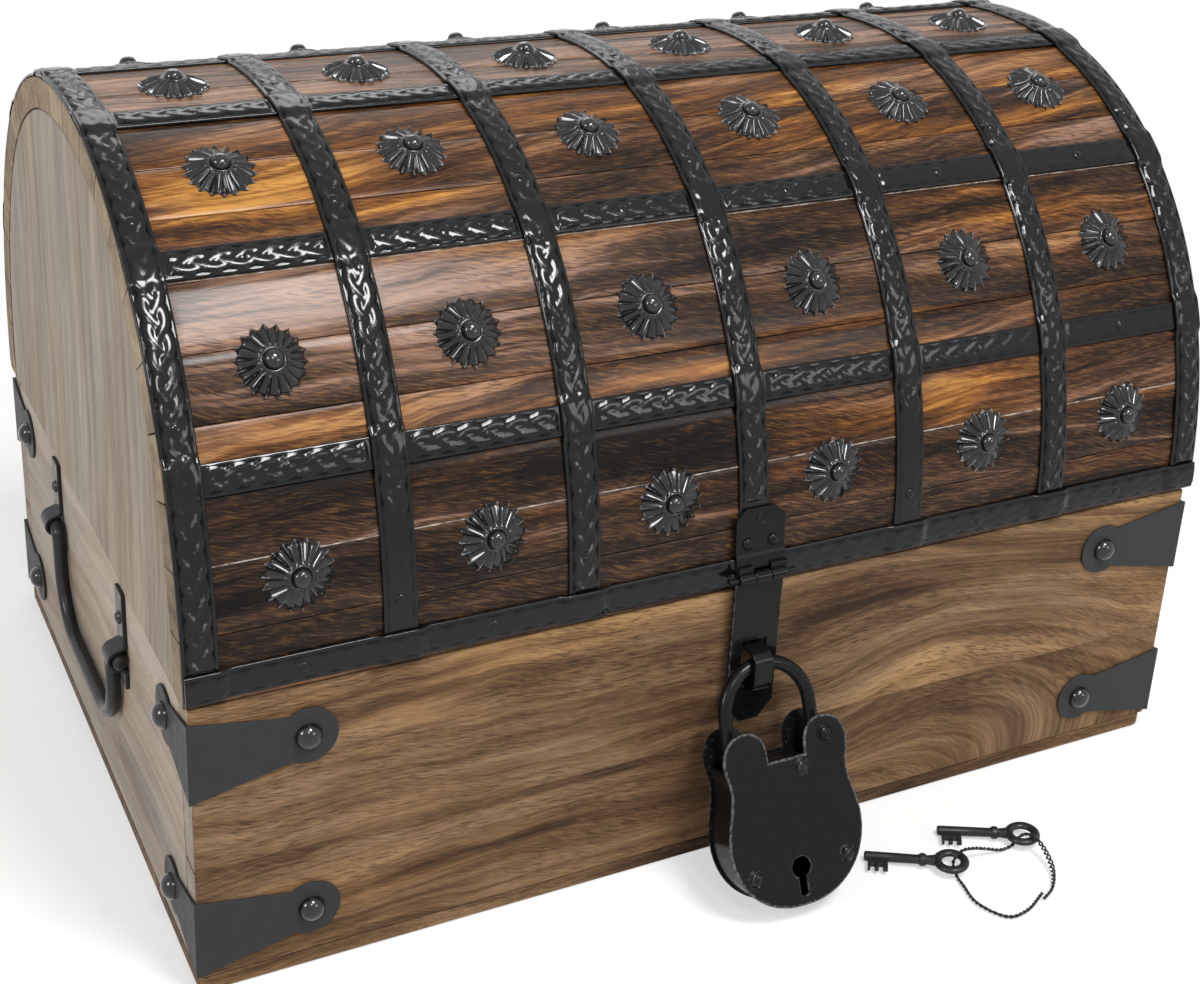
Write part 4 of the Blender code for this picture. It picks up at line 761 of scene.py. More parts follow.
stave_edges = np.linspace(0, CROWN_LENGTH, STAVE_COUNT + 1)
stave_edges[1:-1] += np.random.default_rng(5).uniform(-1.8, 1.8, STAVE_COUNT - 1)
for number in range(STAVE_COUNT):
    stave(number, stave_edges[number] + SEAM / 2, stave_edges[number + 1] - SEAM / 2)
print("staves:", STAVE_COUNT, "width in mm:", round(CROWN_LENGTH / STAVE_COUNT, 1))

# %% [markdown]
# A few of the glue lines are filled with the pale putty and show as broken light lines. Each is a thin bead
# in the groove between two staves. Its top rises and sinks at random, so it shows in places and hides in
# others.

# %% Filled glue lines
FILLED_SEAMS = (2, 6, 10, 13, 18)
FILLER_SEED = 200
FILLER_HALF_WIDTH = 0.42


def filled_seam(seam):
    """A thin, uneven bead of filler in the groove between two staves."""
    place = stave_edges[seam]
    uneven = np.random.default_rng(FILLER_SEED + seam)
    wide = FILLER_HALF_WIDTH
    rings = []
    for x in np.linspace(-LID_HALF_WIDTH + 1, LID_HALF_WIDTH - 1, 220):
        top = -0.1 - 0.28 * uneven.random() ** 2
        section = ((-0.2, -0.8), (-wide, top - 0.12), (0.0, top), (wide, top - 0.12), (0.2, -0.8))
        offsets, lifts = np.array(section).T
        rings.append(on_crown(x, place + offsets, lifts))
    row = sum(place > edge for edge in PANEL_EDGES[1:-1]) + 1
    piece(f"filler_line_{seam:02d}", loft(rings), FILLER, "lid", [f"lid_panel_{row}"], "lid_wood")


for seam in FILLED_SEAMS:
    filled_seam(seam)
print("filled seams:", len(FILLED_SEAMS))

# %% [markdown]
# Each end of the lid is closed by a D-shaped board that sits inside the ring of staves. From the side one
# sees the pale cut ends of the staves round it. The board is a smooth outline with a little thickness.

# %% Lid end boards
END_BOARD = 12.0
END_BOARD_GAP = 0.25
END_BOARD_SEED = 70


def lid_end(name, node_name, side):
    arcs = np.linspace(0, CROWN_LENGTH, 90)
    outline = on_crown(0, arcs, np.full(len(arcs), -STAVE - END_BOARD_GAP))[:, 1:]
    inward = outline.mean(axis=0) - outline
    pulled = outline + 0.5 * inward / np.linalg.norm(inward, axis=1)[:, None]
    face = side * (LID_HALF_WIDTH - 0.15)
    back = side * (LID_HALF_WIDTH - END_BOARD)
    stations = ((back, outline), (face - side * 0.5, outline), (face, pulled))
    points, faces = loft([[(x, y, z) for y, z in ring] for x, ring in stations])
    x, y, z = points.T
    looks = board_attributes(z, y, x, lean=3 * side, seed=END_BOARD_SEED + side, tone=0.05)
    piece(name, (points, faces), SIDE_WOOD, "lid", [node_name], "side_wood", attributes=looks)


lid_end("lid_board_left", "lid_end_left", -1)
lid_end("lid_board_right", "lid_end_right", 1)
print("lid end boards are", END_BOARD, "mm thick")

# %% [markdown]
# The base is four boards on a thin bottom board that shows as a plinth line. Front and back are glued up
# from two boards each; the glue line shows as a fine streak about two fifths up. The front's figure runs
# straight at the left and sweeps down in arches at the right, as it does where the saw passes close to the
# tree's heart. That figure comes from bending the grain coordinate over a fine grid of points.

# %% Front and back boards
BASE_HALF_WIDTH = 215.0
BASE_TOP = 119.0
FOOT = 6.3
WALL = 12.0
GLUE_LINE = 52.0
GLUE_GAP = 0.08
FACE_STEPS = 12
FRONT_STATIONS = 80
# Smoky patches on the front: middle (x, z), size (x, z) and how much darker
FRONT_SMOKE = (
    *((62, 100, 42, 9, 0.16), (128, 66, 26, 12, 0.12), (178, 103, 40, 7, 0.14), (-60, 52, 170, 2.0, 0.09)),
    *((-90, 82, 110, 5, 0.06), (30, 30, 60, 14, -0.03), (195, 60, 40, 40, 0.07)),
)


def board_section(front, back, low, high, ease_low, ease_high):
    """Section of a board: a front face cut in steps, with eased edges below and above."""
    inward = 1 if back > front else -1
    bottom = [(front + inward * ease_low, low), (front + inward * ease_low * 0.3, low + ease_low * 0.3)]
    face = [(front, z) for z in np.linspace(low + ease_low, high - ease_high, FACE_STEPS)]
    top = [(front + inward * ease_high * 0.3, high - ease_high * 0.3), (front + inward * ease_high, high)]
    return np.array([*bottom, *face, *top, (back, high), (back, low)])


def arched(x, z):
    """Across-the-grain place on the front: level lines at the left, arches that sweep down at the right."""
    share = np.clip((x - 30) / 130, 0, 1)
    share = share * share * (3 - 2 * share)
    arches = (z - 14) ** 2 / 95 + (x - 150) * 0.34 + 45
    return (1 - share) * (z + 0.05 * x) + share * arches


def smoke(x, z):
    """How much darker the front is at a place, as a negative tone."""
    tone = np.zeros_like(x)
    for middle_x, middle_z, size_x, size_z, depth in FRONT_SMOKE:
        tone -= depth * np.exp(-(((x - middle_x) / size_x) ** 2) - ((z - middle_z) / size_z) ** 2)
    return tone


def long_board(name, node_name, side, low, high, eases, seed, tone):
    """A front or back board: side is -1 at the front."""
    section = board_section(side * HALF_DEPTH, side * (HALF_DEPTH - WALL), low, high, *eases)
    eased = np.clip(section, section.min(axis=0) + 0.5, section.max(axis=0) - 0.5)
    stations = np.linspace(-BASE_HALF_WIDTH + 0.6, BASE_HALF_WIDTH - 0.6, FRONT_STATIONS)
    rings = []
    for x in (-BASE_HALF_WIDTH, *stations, BASE_HALF_WIDTH):
        ring = eased if abs(x) == BASE_HALF_WIDTH else section
        rings.append([(x, y, z) for y, z in ring])
    points, faces = loft(rings)
    x, y, z = points.T
    across = arched(x, z) if side < 0 else z
    dark = smoke(x, z) if side < 0 else 0.0
    looks = board_attributes(x, across, y, lean=4, seed=seed, tone=tone + dark)
    made = piece(name, (points, faces), BASE_WOOD, "base", [node_name], "base_wood", attributes=looks)
    cut_ends(made, SIDE_WOOD)


for name, node_name, side in (("front_board", "base_front", -1), ("back_board", "base_back", 1)):
    lower, upper = f"{name}_lower", f"{name}_upper"
    long_board(lower, node_name, side, FOOT, GLUE_LINE, (0.6, 0.12), seed=91 + side, tone=0.0)
    long_board(upper, node_name, side, GLUE_LINE + GLUE_GAP, BASE_TOP, (0.12, 0.9), seed=94 + side, tone=0.05)
print("base in mm:", 2 * BASE_HALF_WIDTH, "x", 2 * HALF_DEPTH, "x", BASE_TOP)

# %% [markdown]
# The two side boards stand between front and back, with their grain level. They are the same pale board as
# the lid's ends, with the same painted sheen, a little paler, and darker in a band low down. The bottom
# board is a thin sheet with rounded corners.

# %% Side boards and bottom board
BOTTOM_BOARD = 6.0
BOTTOM_CORNER = 5
BOTTOM_EASE = 0.6


def side_board(name, node_name, side):
    half = HALF_DEPTH - WALL - 0.3
    outside, inside = side * BASE_HALF_WIDTH, side * (BASE_HALF_WIDTH - WALL)
    section = board_section(outside, inside, FOOT, BASE_TOP, 0.4, 0.9)
    points, faces = loft([[(x, y, z) for x, z in section] for y in np.linspace(-half, half, 30)])
    x, y, z = points.T
    # Paler all over, and darker in a band centred about 30 mm up
    tone = 0.24 - 0.14 * np.exp(-(((z - 30) / 30) ** 2))
    looks = board_attributes(y, z, x, lean=-3, seed=120 + side, tone=tone)
    piece(name, (points, faces), SIDE_WOOD, "base", [node_name], "side_wood", attributes=looks)


def bottom_board():
    middle_x, middle_y = BASE_HALF_WIDTH - BOTTOM_CORNER, HALF_DEPTH - BOTTOM_CORNER
    outline = []
    for sign_x, sign_y, start in ((1, 1, 0), (-1, 1, 90), (-1, -1, 180), (1, -1, 270)):
        outline += arc((sign_x * middle_x, sign_y * middle_y), BOTTOM_CORNER, start, start + 90, 7)
    tight = offset(np.vstack([outline, outline[:1]]), BOTTOM_EASE)[:-1]
    levels = [(tight, 0.0), (outline, BOTTOM_EASE)]
    levels += [(outline, BOTTOM_BOARD - BOTTOM_EASE), (tight, BOTTOM_BOARD)]
    points, faces = loft([[(x, y, z) for x, y in ring] for ring, z in levels])
    looks = board_attributes(*points.T, lean=1, seed=131, tone=-0.08)
    shape = (points, faces)
    piece("bottom_board", shape, BASE_WOOD, "base", ["base_bottom"], "base_wood", attributes=looks)


side_board("side_board_left", "base_left", -1)
side_board("side_board_right", "base_right", 1)
bottom_board()
print("walls and bottom board in mm:", WALL, BOTTOM_BOARD)

# %% [markdown]
# The straps are sheet about 1 mm thick, run through a pair of rollers that press a plait into them. A true
# plait of three strands is simple to write: each strand swings from side to side in a sine, a third of a
# turn after the last one, and rises and dips a little, twice as fast. The sheet's height is the highest
# strand's there. It is real relief in the mesh, not a picture, so it catches the light as the pressed sheet
# does.

# %% Plait pattern
PLAIT_LENGTH = 27.0
PLAIT_RELIEF = 0.85


def plait(along, across, swing, strand):
    """Height from 0 to 1 of a plait of three strands; swing and strand are half widths in mm."""
    height = np.zeros(np.broadcast(along, across).shape)
    for number in range(3):
        turn = 2 * np.pi * (along / PLAIT_LENGTH + number / 3)
        slope = swing * 2 * np.pi / PLAIT_LENGTH * np.cos(turn)
        away = np.abs(across - swing * np.sin(turn)) / np.sqrt(1 + slope**2) / strand
        crown = np.sqrt(np.clip(1 - away**2, 0, 1))
        over = 0.5 + 0.5 * np.sin(2 * turn)
        height = np.maximum(height, crown * (0.72 + 0.28 * over))
    return height


print("plait height on its middle line:", plait(np.arange(0, 27, 9.0), 0.0, 2.8, 2.1).round(2))

# %% [markdown]
# Two small helpers shape what happens along a strap. A gate fades the relief out near a place, and a route
# lifts the sheet over what lies under it. The pressed sheet itself is a grid of points with two thin edges,
# and it also works out where shade is painted into the grooves and where a highlight is painted on the
# crest of the braid.

# %% Pressed sheet
SHEET = 1.0
GAP = 0.3
ROUNDING = (-0.8, -0.4, 0, 0.4, 0.8)


def gate(values, middle, half, soft=1.5):
    """0 within a half width of the middle, 1 beyond it, with a soft edge."""
    share = np.clip((np.abs(values - middle) - half) / soft, 0, 1)
    return share * share * (3 - 2 * share)


def eased_route(values, route):
    """Lift along a route of (place, lift), with the bends rounded over about 1.5 mm."""
    places, lifts = zip(*route)
    return sum(np.interp(values + shift, places, lifts) for shift in ROUNDING) / len(ROUNDING)


def pressed_sheet(stations, half_width, lift, relief, strands, place, columns):
    """Sheet with relief on its top, painted shade in its grooves and a painted highlight on its crests.

    Strands are the plait's swing and strand; lift and relief have a value for each station.
    """
    inner = np.linspace(-half_width + 0.3, half_width - 0.3, columns)
    across = np.concatenate([[-half_width, -half_width], inner, [half_width, half_width]])
    along_grid, across_grid = np.meshgrid(stations, across, indexing="ij")
    raised = plait(along_grid, across_grid, *strands)
    lifts = lift[:, None] + SHEET + relief[:, None] * raised
    lifts[:, [0, -1]] = lift[:, None]
    lifts[:, [1, -2]] = lift[:, None] + SHEET - 0.3
    deep = np.clip(relief / PLAIT_RELIEF, 0, 1)[:, None]
    # Painted shade: the bottom of the braid gets black colour and a dull coat
    painted_groove_shade = 0.9 * deep**0.6 * np.clip(1 - raised / 0.5, 0, 1) * (np.abs(across_grid) < half_width - 1.0)
    # Painted highlight: the crest of the braid gets the pale worn colour
    wear_and_highlight = 0.7 * deep * np.clip((raised - 0.8) / 0.2, 0, 1)
    return loft(place(along_grid, across_grid, lifts)), {"painted_groove_shade": painted_groove_shade.ravel(), "wear_and_highlight": wear_and_highlight.ravel()}


print("sheet in mm:", SHEET, "clear of the wood by", GAP)

# %% [markdown]
# Small flat nails, black as the sheet, hold the straps and strips down. A nail head is a short turned
# profile that stands square to the lid. A strap or strip and its nails together stand for one solid.

# %% Flat nails and lid ironwork
FLAT_NAIL = ((2.1, -0.4), (2.1, 0.35), (1.85, 0.7), (1.2, 0.92), (0.3, 1.0))


def crown_seat(x, place, lift):
    """Seat of a nail on the lid: its place and the outward direction there."""
    outward = crown_frame(np.array([place]))[2][0]
    return on_crown(np.array([x]), np.array([place]), np.array([lift]))[0], (0, *outward)


def lid_ironwork(kind, number, sheet, nail_places):
    """Adds a strap or strip and its flat nails, which sit at (x, arc length)."""
    shape, looks = sheet
    nodes = [f"lid_{kind}_{number + 1}"]
    name = f"{kind}_{number + 1}"
    piece(name, shape, STRAP_BLACK, "lid", nodes, "black_sheet", sharp=50, attributes=looks)
    seats = [crown_seat(x, place, GAP + SHEET) for x, place in nail_places]
    nails = joined(*[turned(FLAT_NAIL, seat, outward, 16) for seat, outward in seats])
    piece(f"{kind}_nails_{number + 1}", nails, STRAP_BLACK, "lid", nodes, "black_sheet")


print("flat nail in mm:", 2 * FLAT_NAIL[0][0], "across")

# %% [markdown]
# Seven straps run over the lid from seam to seam. Where a strap crosses an inner strip it bends up over it,
# and its relief is hammered flatter there. Its two ends are flat, under the border strips. The middle strap
# is plain where the hasp's leaf covers it, and two straps were hardly marked by the rollers near the front.

# %% Arched straps
STRIP_WIDTH = 11.2
REACH = STRIP_WIDTH / 2 + GAP
RAMP = 3.0
STRAP_FROM_EDGE = 3.2
STRAP_STATIONS, STRAP_COLUMNS = 800, 21
STRAP_STRANDS = (2.8, 2.1)  # the plait's swing and strand
MIDDLE_STRAP = 3
FAINT_STRAPS = (1, 4)  # their first bay is hardly marked
OVER_SHEET = 2 * GAP + SHEET  # lift of a sheet that runs over another
NAIL_FROM_STRIP = 18


def strap_relief(number, stations):
    """Share of the full relief along a strap."""
    keep = gate(stations, STRIP_ARCS[0], REACH) * gate(stations, STRIP_ARCS[-1], REACH)
    if number == MIDDLE_STRAP:
        keep *= gate(stations, 20, 15)
    if number in FAINT_STRAPS:
        keep *= 0.25 + 0.75 * gate(stations, 28, 26, 8)
    for place in STRIP_ARCS[1:-1]:
        keep *= 0.45 + 0.55 * gate(stations, place, REACH, 2.5)
    return keep


def strap_route():
    """Lift of a strap: flat on the staves, and up over each inner strip."""
    route = [(0, GAP)]
    for place in STRIP_ARCS[1:-1]:
        route += [(place - REACH - RAMP, GAP), (place - REACH, OVER_SHEET)]
        route += [(place + REACH, OVER_SHEET), (place + REACH + RAMP, GAP)]
    return [*route, (CROWN_LENGTH, GAP)]


def strap(number, strap_x):
    stations = np.linspace(STRAP_FROM_EDGE, CROWN_LENGTH - STRAP_FROM_EDGE, STRAP_STATIONS)
    nail_arcs = [place + NAIL_FROM_STRIP for place in STRIP_ARCS[:4]]
    nail_arcs += [place - NAIL_FROM_STRIP for place in STRIP_ARCS[4:]]
    if number == MIDDLE_STRAP:
        nail_arcs = nail_arcs[1:]  # the hasp's leaf covers the first one's place

    def place_on(along, across, lifts):
        return on_crown(strap_x + across, along, lifts)

    lift = eased_route(stations, strap_route())
    relief = PLAIT_RELIEF * strap_relief(number, stations)
    sheet = pressed_sheet(stations, STRAP_WIDTH / 2, lift, relief, STRAP_STRANDS, place_on, STRAP_COLUMNS)
    lid_ironwork("strap", number, sheet, [(strap_x, place) for place in nail_arcs])


for number, strap_x in enumerate(STRAP_XS):
    strap(number, strap_x)
strap_length = CROWN_LENGTH - 2 * STRAP_FROM_EDGE
print("straps:", len(STRAP_XS), "plait repeats in each:", round(strap_length / PLAIT_LENGTH))

# %% [markdown]
# Eight strips of the same sheet run along the lid. The six inner ones lie flat on the staves under the
# straps. The border strips step over the strap ends and hold them down; their relief is shallower. They are
# plain where the hasp and the rear hinges cross them.

# %% Lengthwise strips
STRIP_HALF_LENGTH = LID_HALF_WIDTH - GAP
STRIP_STATIONS, STRIP_COLUMNS = 680, 17
STRIP_STRANDS = (2.4, 1.9)
BORDER_RELIEF = 0.55
LAST_STRIP = len(STRIP_ARCS) - 1
FADING_STRIPS = (1, 2)  # the rollers marked these less and less towards the right
HASP_X, HASP_HALF_WIDTH = 2.0, 10.5
REAR_HINGE_XS = (-105.125, 105.125)
BEYOND = 300  # a place past the strip's end


def strip_relief(number, stations, border):
    """Share of the full relief along a strip."""
    keep = np.ones_like(stations)
    if not border:
        for strap_x in STRAP_XS:
            keep *= gate(stations, strap_x, STRAP_WIDTH / 2 + GAP + 0.8)
    if number in FADING_STRIPS:
        keep *= 1 - 0.75 * np.clip((stations - 20) / 110, 0, 1)
    if number == 0:
        keep *= gate(stations, HASP_X, HASP_HALF_WIDTH + 1)
    if number == LAST_STRIP:
        keep *= gate(stations, REAR_HINGE_XS[0], 14) * gate(stations, REAR_HINGE_XS[1], 14)
    return keep * (BORDER_RELIEF if border else 1.0)


def strip_route(border):
    """Lift of a strip: an inner one lies flat, a border one steps over the ends of the straps."""
    route = [(-BEYOND, GAP)]
    reach = STRAP_WIDTH / 2 + GAP
    for strap_x in STRAP_XS if border else ():
        route += [(strap_x - reach - RAMP, GAP), (strap_x - reach, OVER_SHEET)]
        route += [(strap_x + reach, OVER_SHEET), (strap_x + reach + RAMP, GAP)]
    return [*route, (BEYOND, GAP)]


def strip(number, strip_arc):
    border = number in (0, LAST_STRIP)
    stations = np.linspace(-STRIP_HALF_LENGTH, STRIP_HALF_LENGTH, STRIP_STATIONS)
    nail_xs = [x for x in STUD_XS if not border or abs(x) > 40]
    if number == LAST_STRIP:
        nail_xs = [x for x in nail_xs if abs(abs(x) - REAR_HINGE_XS[1]) > 16]

    def place_on(along, across, lifts):
        return on_crown(along, strip_arc + across, lifts)

    lift = eased_route(stations, strip_route(border))
    relief = PLAIT_RELIEF * strip_relief(number, stations, border)
    sheet = pressed_sheet(stations, STRIP_WIDTH / 2, lift, relief, STRIP_STRANDS, place_on, STRIP_COLUMNS)
    lid_ironwork("strip", number, sheet, [(x, strip_arc) for x in nail_xs])


for number, strip_arc in enumerate(STRIP_ARCS):
    strip(number, strip_arc)
print("strips:", len(STRIP_ARCS))

# %% [markdown]
# A flower stud is a thin stamped cup with eighteen pointed petals, each with a narrow ridge along its
# middle, and a domed nail through its heart. The petals are radial folds that die out towards the middle.
# The flat fields between the ridges stay dark and the ridges catch the light, so the fold is a squared
# triangle wave and not a sine. The fields, the foot of the cup round the collar and the crease under the
# nail's dome also get painted shade, and the ridges and the rim a painted highlight.

# %% A flower stud
PETALS = 18
POINTS_PER_PETAL = 10
STUD_TIP, STUD_VALLEY = 12.9, 11.1
STUD_HEIGHT = 3.7
STUD_RINGS = 12
COLLAR = 4.6
# The nail head from its collar to its top: radius and lift above the cup
STUD_NAIL = (
    *((4.5, 0.2), (4.3, 0.45), (3.9, 0.5), (3.55, 0.3), (3.45, 0.75)),
    *((3.2, 1.6), (2.7, 2.35), (1.9, 2.9), (0.8, 3.2)),
)
# The crease between collar and dome is darkened as painted shade
NAIL_CREASE = 3.55  # radius of the dark crease between collar and dome


def stud_mesh():
    """A stud on a flat seat, with painted highlight on ridges and rim and painted shade in fields and
    creases.
    """
    around = POINTS_PER_PETAL * PETALS
    turns = np.arange(around) / around * 2 * np.pi
    fold = 1 - np.abs(((turns * PETALS / (2 * np.pi)) % 1) * 2 - 1)
    ridge = fold**2.2
    rim = STUD_VALLEY + (STUD_TIP - STUD_VALLEY) * fold**1.5
    shapes = [(rim * 0.985, np.full(around, -1.4)), (rim, 0.1 + 0.75 * ridge)]
    # Painted highlight on the rim, strongest on the petal tips
    wear_and_highlight, painted_groove_shade = [0 * fold, 0.5 + 0.4 * ridge], [0 * fold, 0 * fold]
    for share in np.linspace(1, 0, STUD_RINGS)[1:]:
        radius = COLLAR + (rim - COLLAR) * share
        raised = 1.5 * (ridge - 0.3) * share**0.5 * (1 - 0.4 * share)
        shapes.append((radius, STUD_HEIGHT * (1 - share) ** 0.85 + 0.35 * share + raised))
        # Painted highlight on the ridges; painted shade in the fields between them and near the collar
        wear_and_highlight.append((0.4 + 0.4 * share) * ridge**2)
        painted_groove_shade.append(0.25 * (1 - fold) ** 2 + 0.3 * (1 - share) ** 4)
    plain = np.ones(around)
    for radius, lift in STUD_NAIL:
        shapes.append((plain * radius, plain * (STUD_HEIGHT + lift)))
        wear_and_highlight.append(0 * fold)
        # Painted shade in the crease between collar and dome
        painted_groove_shade.append(plain * 0.5 * (abs(radius - NAIL_CREASE) < 0.2))
    rings = []
    for radius, lift in shapes:
        rings.append(np.stack([radius * np.cos(turns), radius * np.sin(turns), lift], axis=1))
    return loft(rings), {"wear_and_highlight": np.concatenate(wear_and_highlight), "painted_groove_shade": np.concatenate(painted_groove_shade)}


stud_template, stud_looks = stud_mesh()
print("faces in a stud:", len(stud_template[1]))

# %% [markdown]
# Seven rows of six studs are nailed through the staves, one in each bay between two straps. Each is turned
# a little, as hand-nailed studs are. One mesh serves all.

# %% Rows of studs
TURN_SEED = 11


def seated_stud(row, column, stud_x, place, turn):
    """Carries the stud onto the lid; its rim is sunk where the lid curves away."""
    points, faces = stud_template
    x = points[:, 0] * math.cos(turn) - points[:, 1] * math.sin(turn)
    v = points[:, 0] * math.sin(turn) + points[:, 1] * math.cos(turn)
    point, along, outward = crown_frame(np.array([place]))
    yz = point + np.outer(v, along[0]) + np.outer(points[:, 2], outward[0])
    shape = (np.column_stack([stud_x + x, yz]), faces)
    name = f"stud_{row}_{column}"
    nodes = [f"lid_panel_{row}"]
    piece(name, shape, STUD_BLACK, "lid", nodes, "black_sheet", sharp=60, attributes=stud_looks)


turning = np.random.default_rng(TURN_SEED)
for row, place in enumerate(STUD_ARCS, 1):
    for column, stud_x in enumerate(STUD_XS, 1):
        seated_stud(row, column, stud_x, place, turning.uniform(0, 2 * math.pi / PETALS))
print("studs:", len(STUD_ARCS) * len(STUD_XS))

# %% [markdown]
# Round-headed nails hold the rest of the ironwork. A nail head is a turned shape: a small foot, a shoulder
# and a dome. One profile is scaled for all of them.

# %% Round-headed nails
NAIL_RADIUS, NAIL_HEIGHT = 5.0, 4.2
NAIL_PROFILE = ((5.0, -0.3), (5.0, 0.5), (4.8, 1.3), (4.2, 2.4), (3.1, 3.4), (1.7, 4.0), (0.5, 4.2))


def nail(seat, outward, radius=NAIL_RADIUS, height=NAIL_HEIGHT, sides=28):
    profile = [(r * radius / NAIL_RADIUS, h * height / NAIL_HEIGHT) for r, h in NAIL_PROFILE]
    return turned(profile, seat, outward, sides)


print("nail heads in mm:", 2 * NAIL_RADIUS)

# %% [markdown]
# The eight corner brackets are cut from thin sheet and folded round the corner, with a round end on each
# arm and one nail in each. They are painted flat grey, so only their edges and nails shine.

# %% Corner brackets
BRACKET_SHEET = 0.9
BRACKET_END = 11.0
BRACKET_TOPS = {"top": 113.5, "bottom": 40.0}
BRACKET_HEIGHT = 32
BRACKET_NAIL_DROP = 14.5
FRONT_ARM, SIDE_ARM = 41, 30


def bracket_arm(reach, nail_z):
    """The round end of an arm, from its upper to its lower edge: (distance from the corner, height)."""
    return arc((reach, nail_z), BRACKET_END, 128, -122, 26)


def bracket_plate(side_x, side_y, high):
    """The folded sheet. Each layer goes round the whole outline, from the corner's top."""
    low, nail_z = high - BRACKET_HEIGHT, high - BRACKET_NAIL_DROP
    layers = []
    for lift in (GAP, GAP + BRACKET_SHEET):
        wall_x, wall_y = side_x * (BASE_HALF_WIDTH + lift), side_y * (HALF_DEPTH + lift)
        front = [(side_x * (BASE_HALF_WIDTH - u), wall_y, z) for u, z in bracket_arm(FRONT_ARM, nail_z)]
        side = [(wall_x, side_y * (HALF_DEPTH - u), z) for u, z in bracket_arm(SIDE_ARM, nail_z)]
        layers.append([(wall_x, wall_y, high), *front, (wall_x, wall_y, low), *side[::-1]])
    points, faces = loft(layers, caps=False)
    count, arm = len(layers[0]), len(front)
    for start in (0, count):
        faces.append(tuple(start + i for i in range(arm + 2)))
        faces.append((start, *[start + i for i in range(count - 1, arm, -1)]))
    return points, faces


def bracket(where, side_x, side_y, high):
    nail_z = high - BRACKET_NAIL_DROP
    surface = GAP + BRACKET_SHEET
    front_seat = (side_x * (BASE_HALF_WIDTH - FRONT_ARM), side_y * (HALF_DEPTH + surface), nail_z)
    side_seat = (side_x * (BASE_HALF_WIDTH + surface), side_y * (HALF_DEPTH - SIDE_ARM), nail_z)
    nails = joined(nail(front_seat, (0, side_y, 0)), nail(side_seat, (side_x, 0, 0)))
    plate_shape = bracket_plate(side_x, side_y, high)
    nodes = [f"bracket_{where}"]
    piece(f"corner_plate_{where}", plate_shape, BRACKET_GREY, "base", nodes, "grey_sheet", bevel=0.22)
    piece(f"corner_nails_{where}", nails, STUD_BLACK, "base", nodes, "black_sheet")


for depth_name, side_y in (("front", -1), ("back", 1)):
    for side_name, side_x in (("left", -1), ("right", 1)):
        for level, high in BRACKET_TOPS.items():
            bracket(f"{depth_name}_{side_name}_{level}", side_x, side_y, high)
print("corner brackets:", 4 * len(BRACKET_TOPS))

# %% [markdown]
# Each bail handle is one round bar, cranked at both ends, that hangs in two straps of sheet curled over it.
# The bar could be a curve with a bevel; here it is a tube along computed points, so that its tips can be
# rounded by letting the radius shrink. Each bail swings on its own body.

# %% Bail bar
BAIL_RADIUS = 2.9
BAIL_OUT = 3.4  # the bar's axis from the wall
BAIL_Z = 87.0
BAIL_LEG = 46.7
BAIL_TIP = 63.5
BAIL_DROP = 41.0
BAIL_ELBOW, BAIL_BEND = 4, 24
# The rounded tip: distance from it and the bar's radius there
BAIL_TIP_PROFILE = ((0, 1.2), (0.25, 2.1), (0.8, 2.7), (1.8, BAIL_RADIUS), (5, BAIL_RADIUS), (9, BAIL_RADIUS))


def bail_bar(side):
    """Half of the bar from its tip to its middle, and the mirror image of that half."""
    half = [(BAIL_TIP - s, 0.0) for s, _ in BAIL_TIP_PROFILE]
    radii = [radius for _, radius in BAIL_TIP_PROFILE]
    elbow = [(y, -z) for y, z in arc((BAIL_LEG + BAIL_ELBOW, -BAIL_ELBOW), BAIL_ELBOW, 90, 180, 8)]
    half += elbow
    half += arc((BAIL_LEG - BAIL_BEND, BAIL_DROP - BAIL_BEND), BAIL_BEND, 0, 90, 14)
    radii += [BAIL_RADIUS] * (len(half) - len(radii))
    flat = half + [(-y, drop) for y, drop in half[::-1]]
    x = side * (BASE_HALF_WIDTH + BAIL_OUT)
    return tube([(x, y, BAIL_Z - drop) for y, drop in flat], radii + radii[::-1], 20)


print("bail span in mm:", 2 * BAIL_TIP)

# %% [markdown]
# A lug is a strap of sheet that runs up the wall, curls round the bar and lies on the wall again above it,
# where one small nail holds it. Its path is straight, a half circle and straight again.

# %% Handle lugs and both bails
LUG_SHEET, LUG_WIDTH = 1.4, 10.0
LUG_FOOT, LUG_TOP = 74.0, 115.0
LUG_Y = 56.0
LUG_NAIL_Z = 103.2
LUG_PLAY = 0.35  # between the bar and the curl


def bail_lug(side, middle_y):
    inner = BAIL_RADIUS + LUG_PLAY
    path = [(GAP, LUG_FOOT), (GAP, BAIL_Z - inner - LUG_SHEET)]
    path += arc((BAIL_OUT, BAIL_Z), inner, -90, 90, 18)
    path += [(GAP, BAIL_Z + inner + LUG_SHEET), (GAP, LUG_TOP)]

    def place(out, z, w):
        return (side * (BASE_HALF_WIDTH + out), middle_y + w, z)

    sheet = bent_sheet(path, -LUG_SHEET, place, -LUG_WIDTH / 2, LUG_WIDTH / 2)
    seat = (side * (BASE_HALF_WIDTH + GAP + LUG_SHEET), middle_y, LUG_NAIL_Z)
    return sheet, nail(seat, (side, 0, 0), radius=2.6, height=1.8)


for side_name, side in (("left", -1), ("right", 1)):
    body = f"handle_{side_name}"
    piece(f"bail_{side_name}", bail_bar(side), HANDLE_IRON, body, [body], "handle_iron")
    for end_name, end in (("front", -1), ("back", 1)):
        sheet, head = bail_lug(side, end * LUG_Y)
        nodes = [f"handle_lug_{side_name}_{end_name}"]
        lug_name = f"curled_lug_{side_name}_{end_name}"
        piece(lug_name, sheet, HANDLE_IRON, "base", nodes, "handle_iron", bevel=0.3)
        piece(f"{lug_name}_nail", head, STUD_BLACK, "base", nodes, "handle_iron")
print("lugs are", LUG_WIDTH, "mm wide")

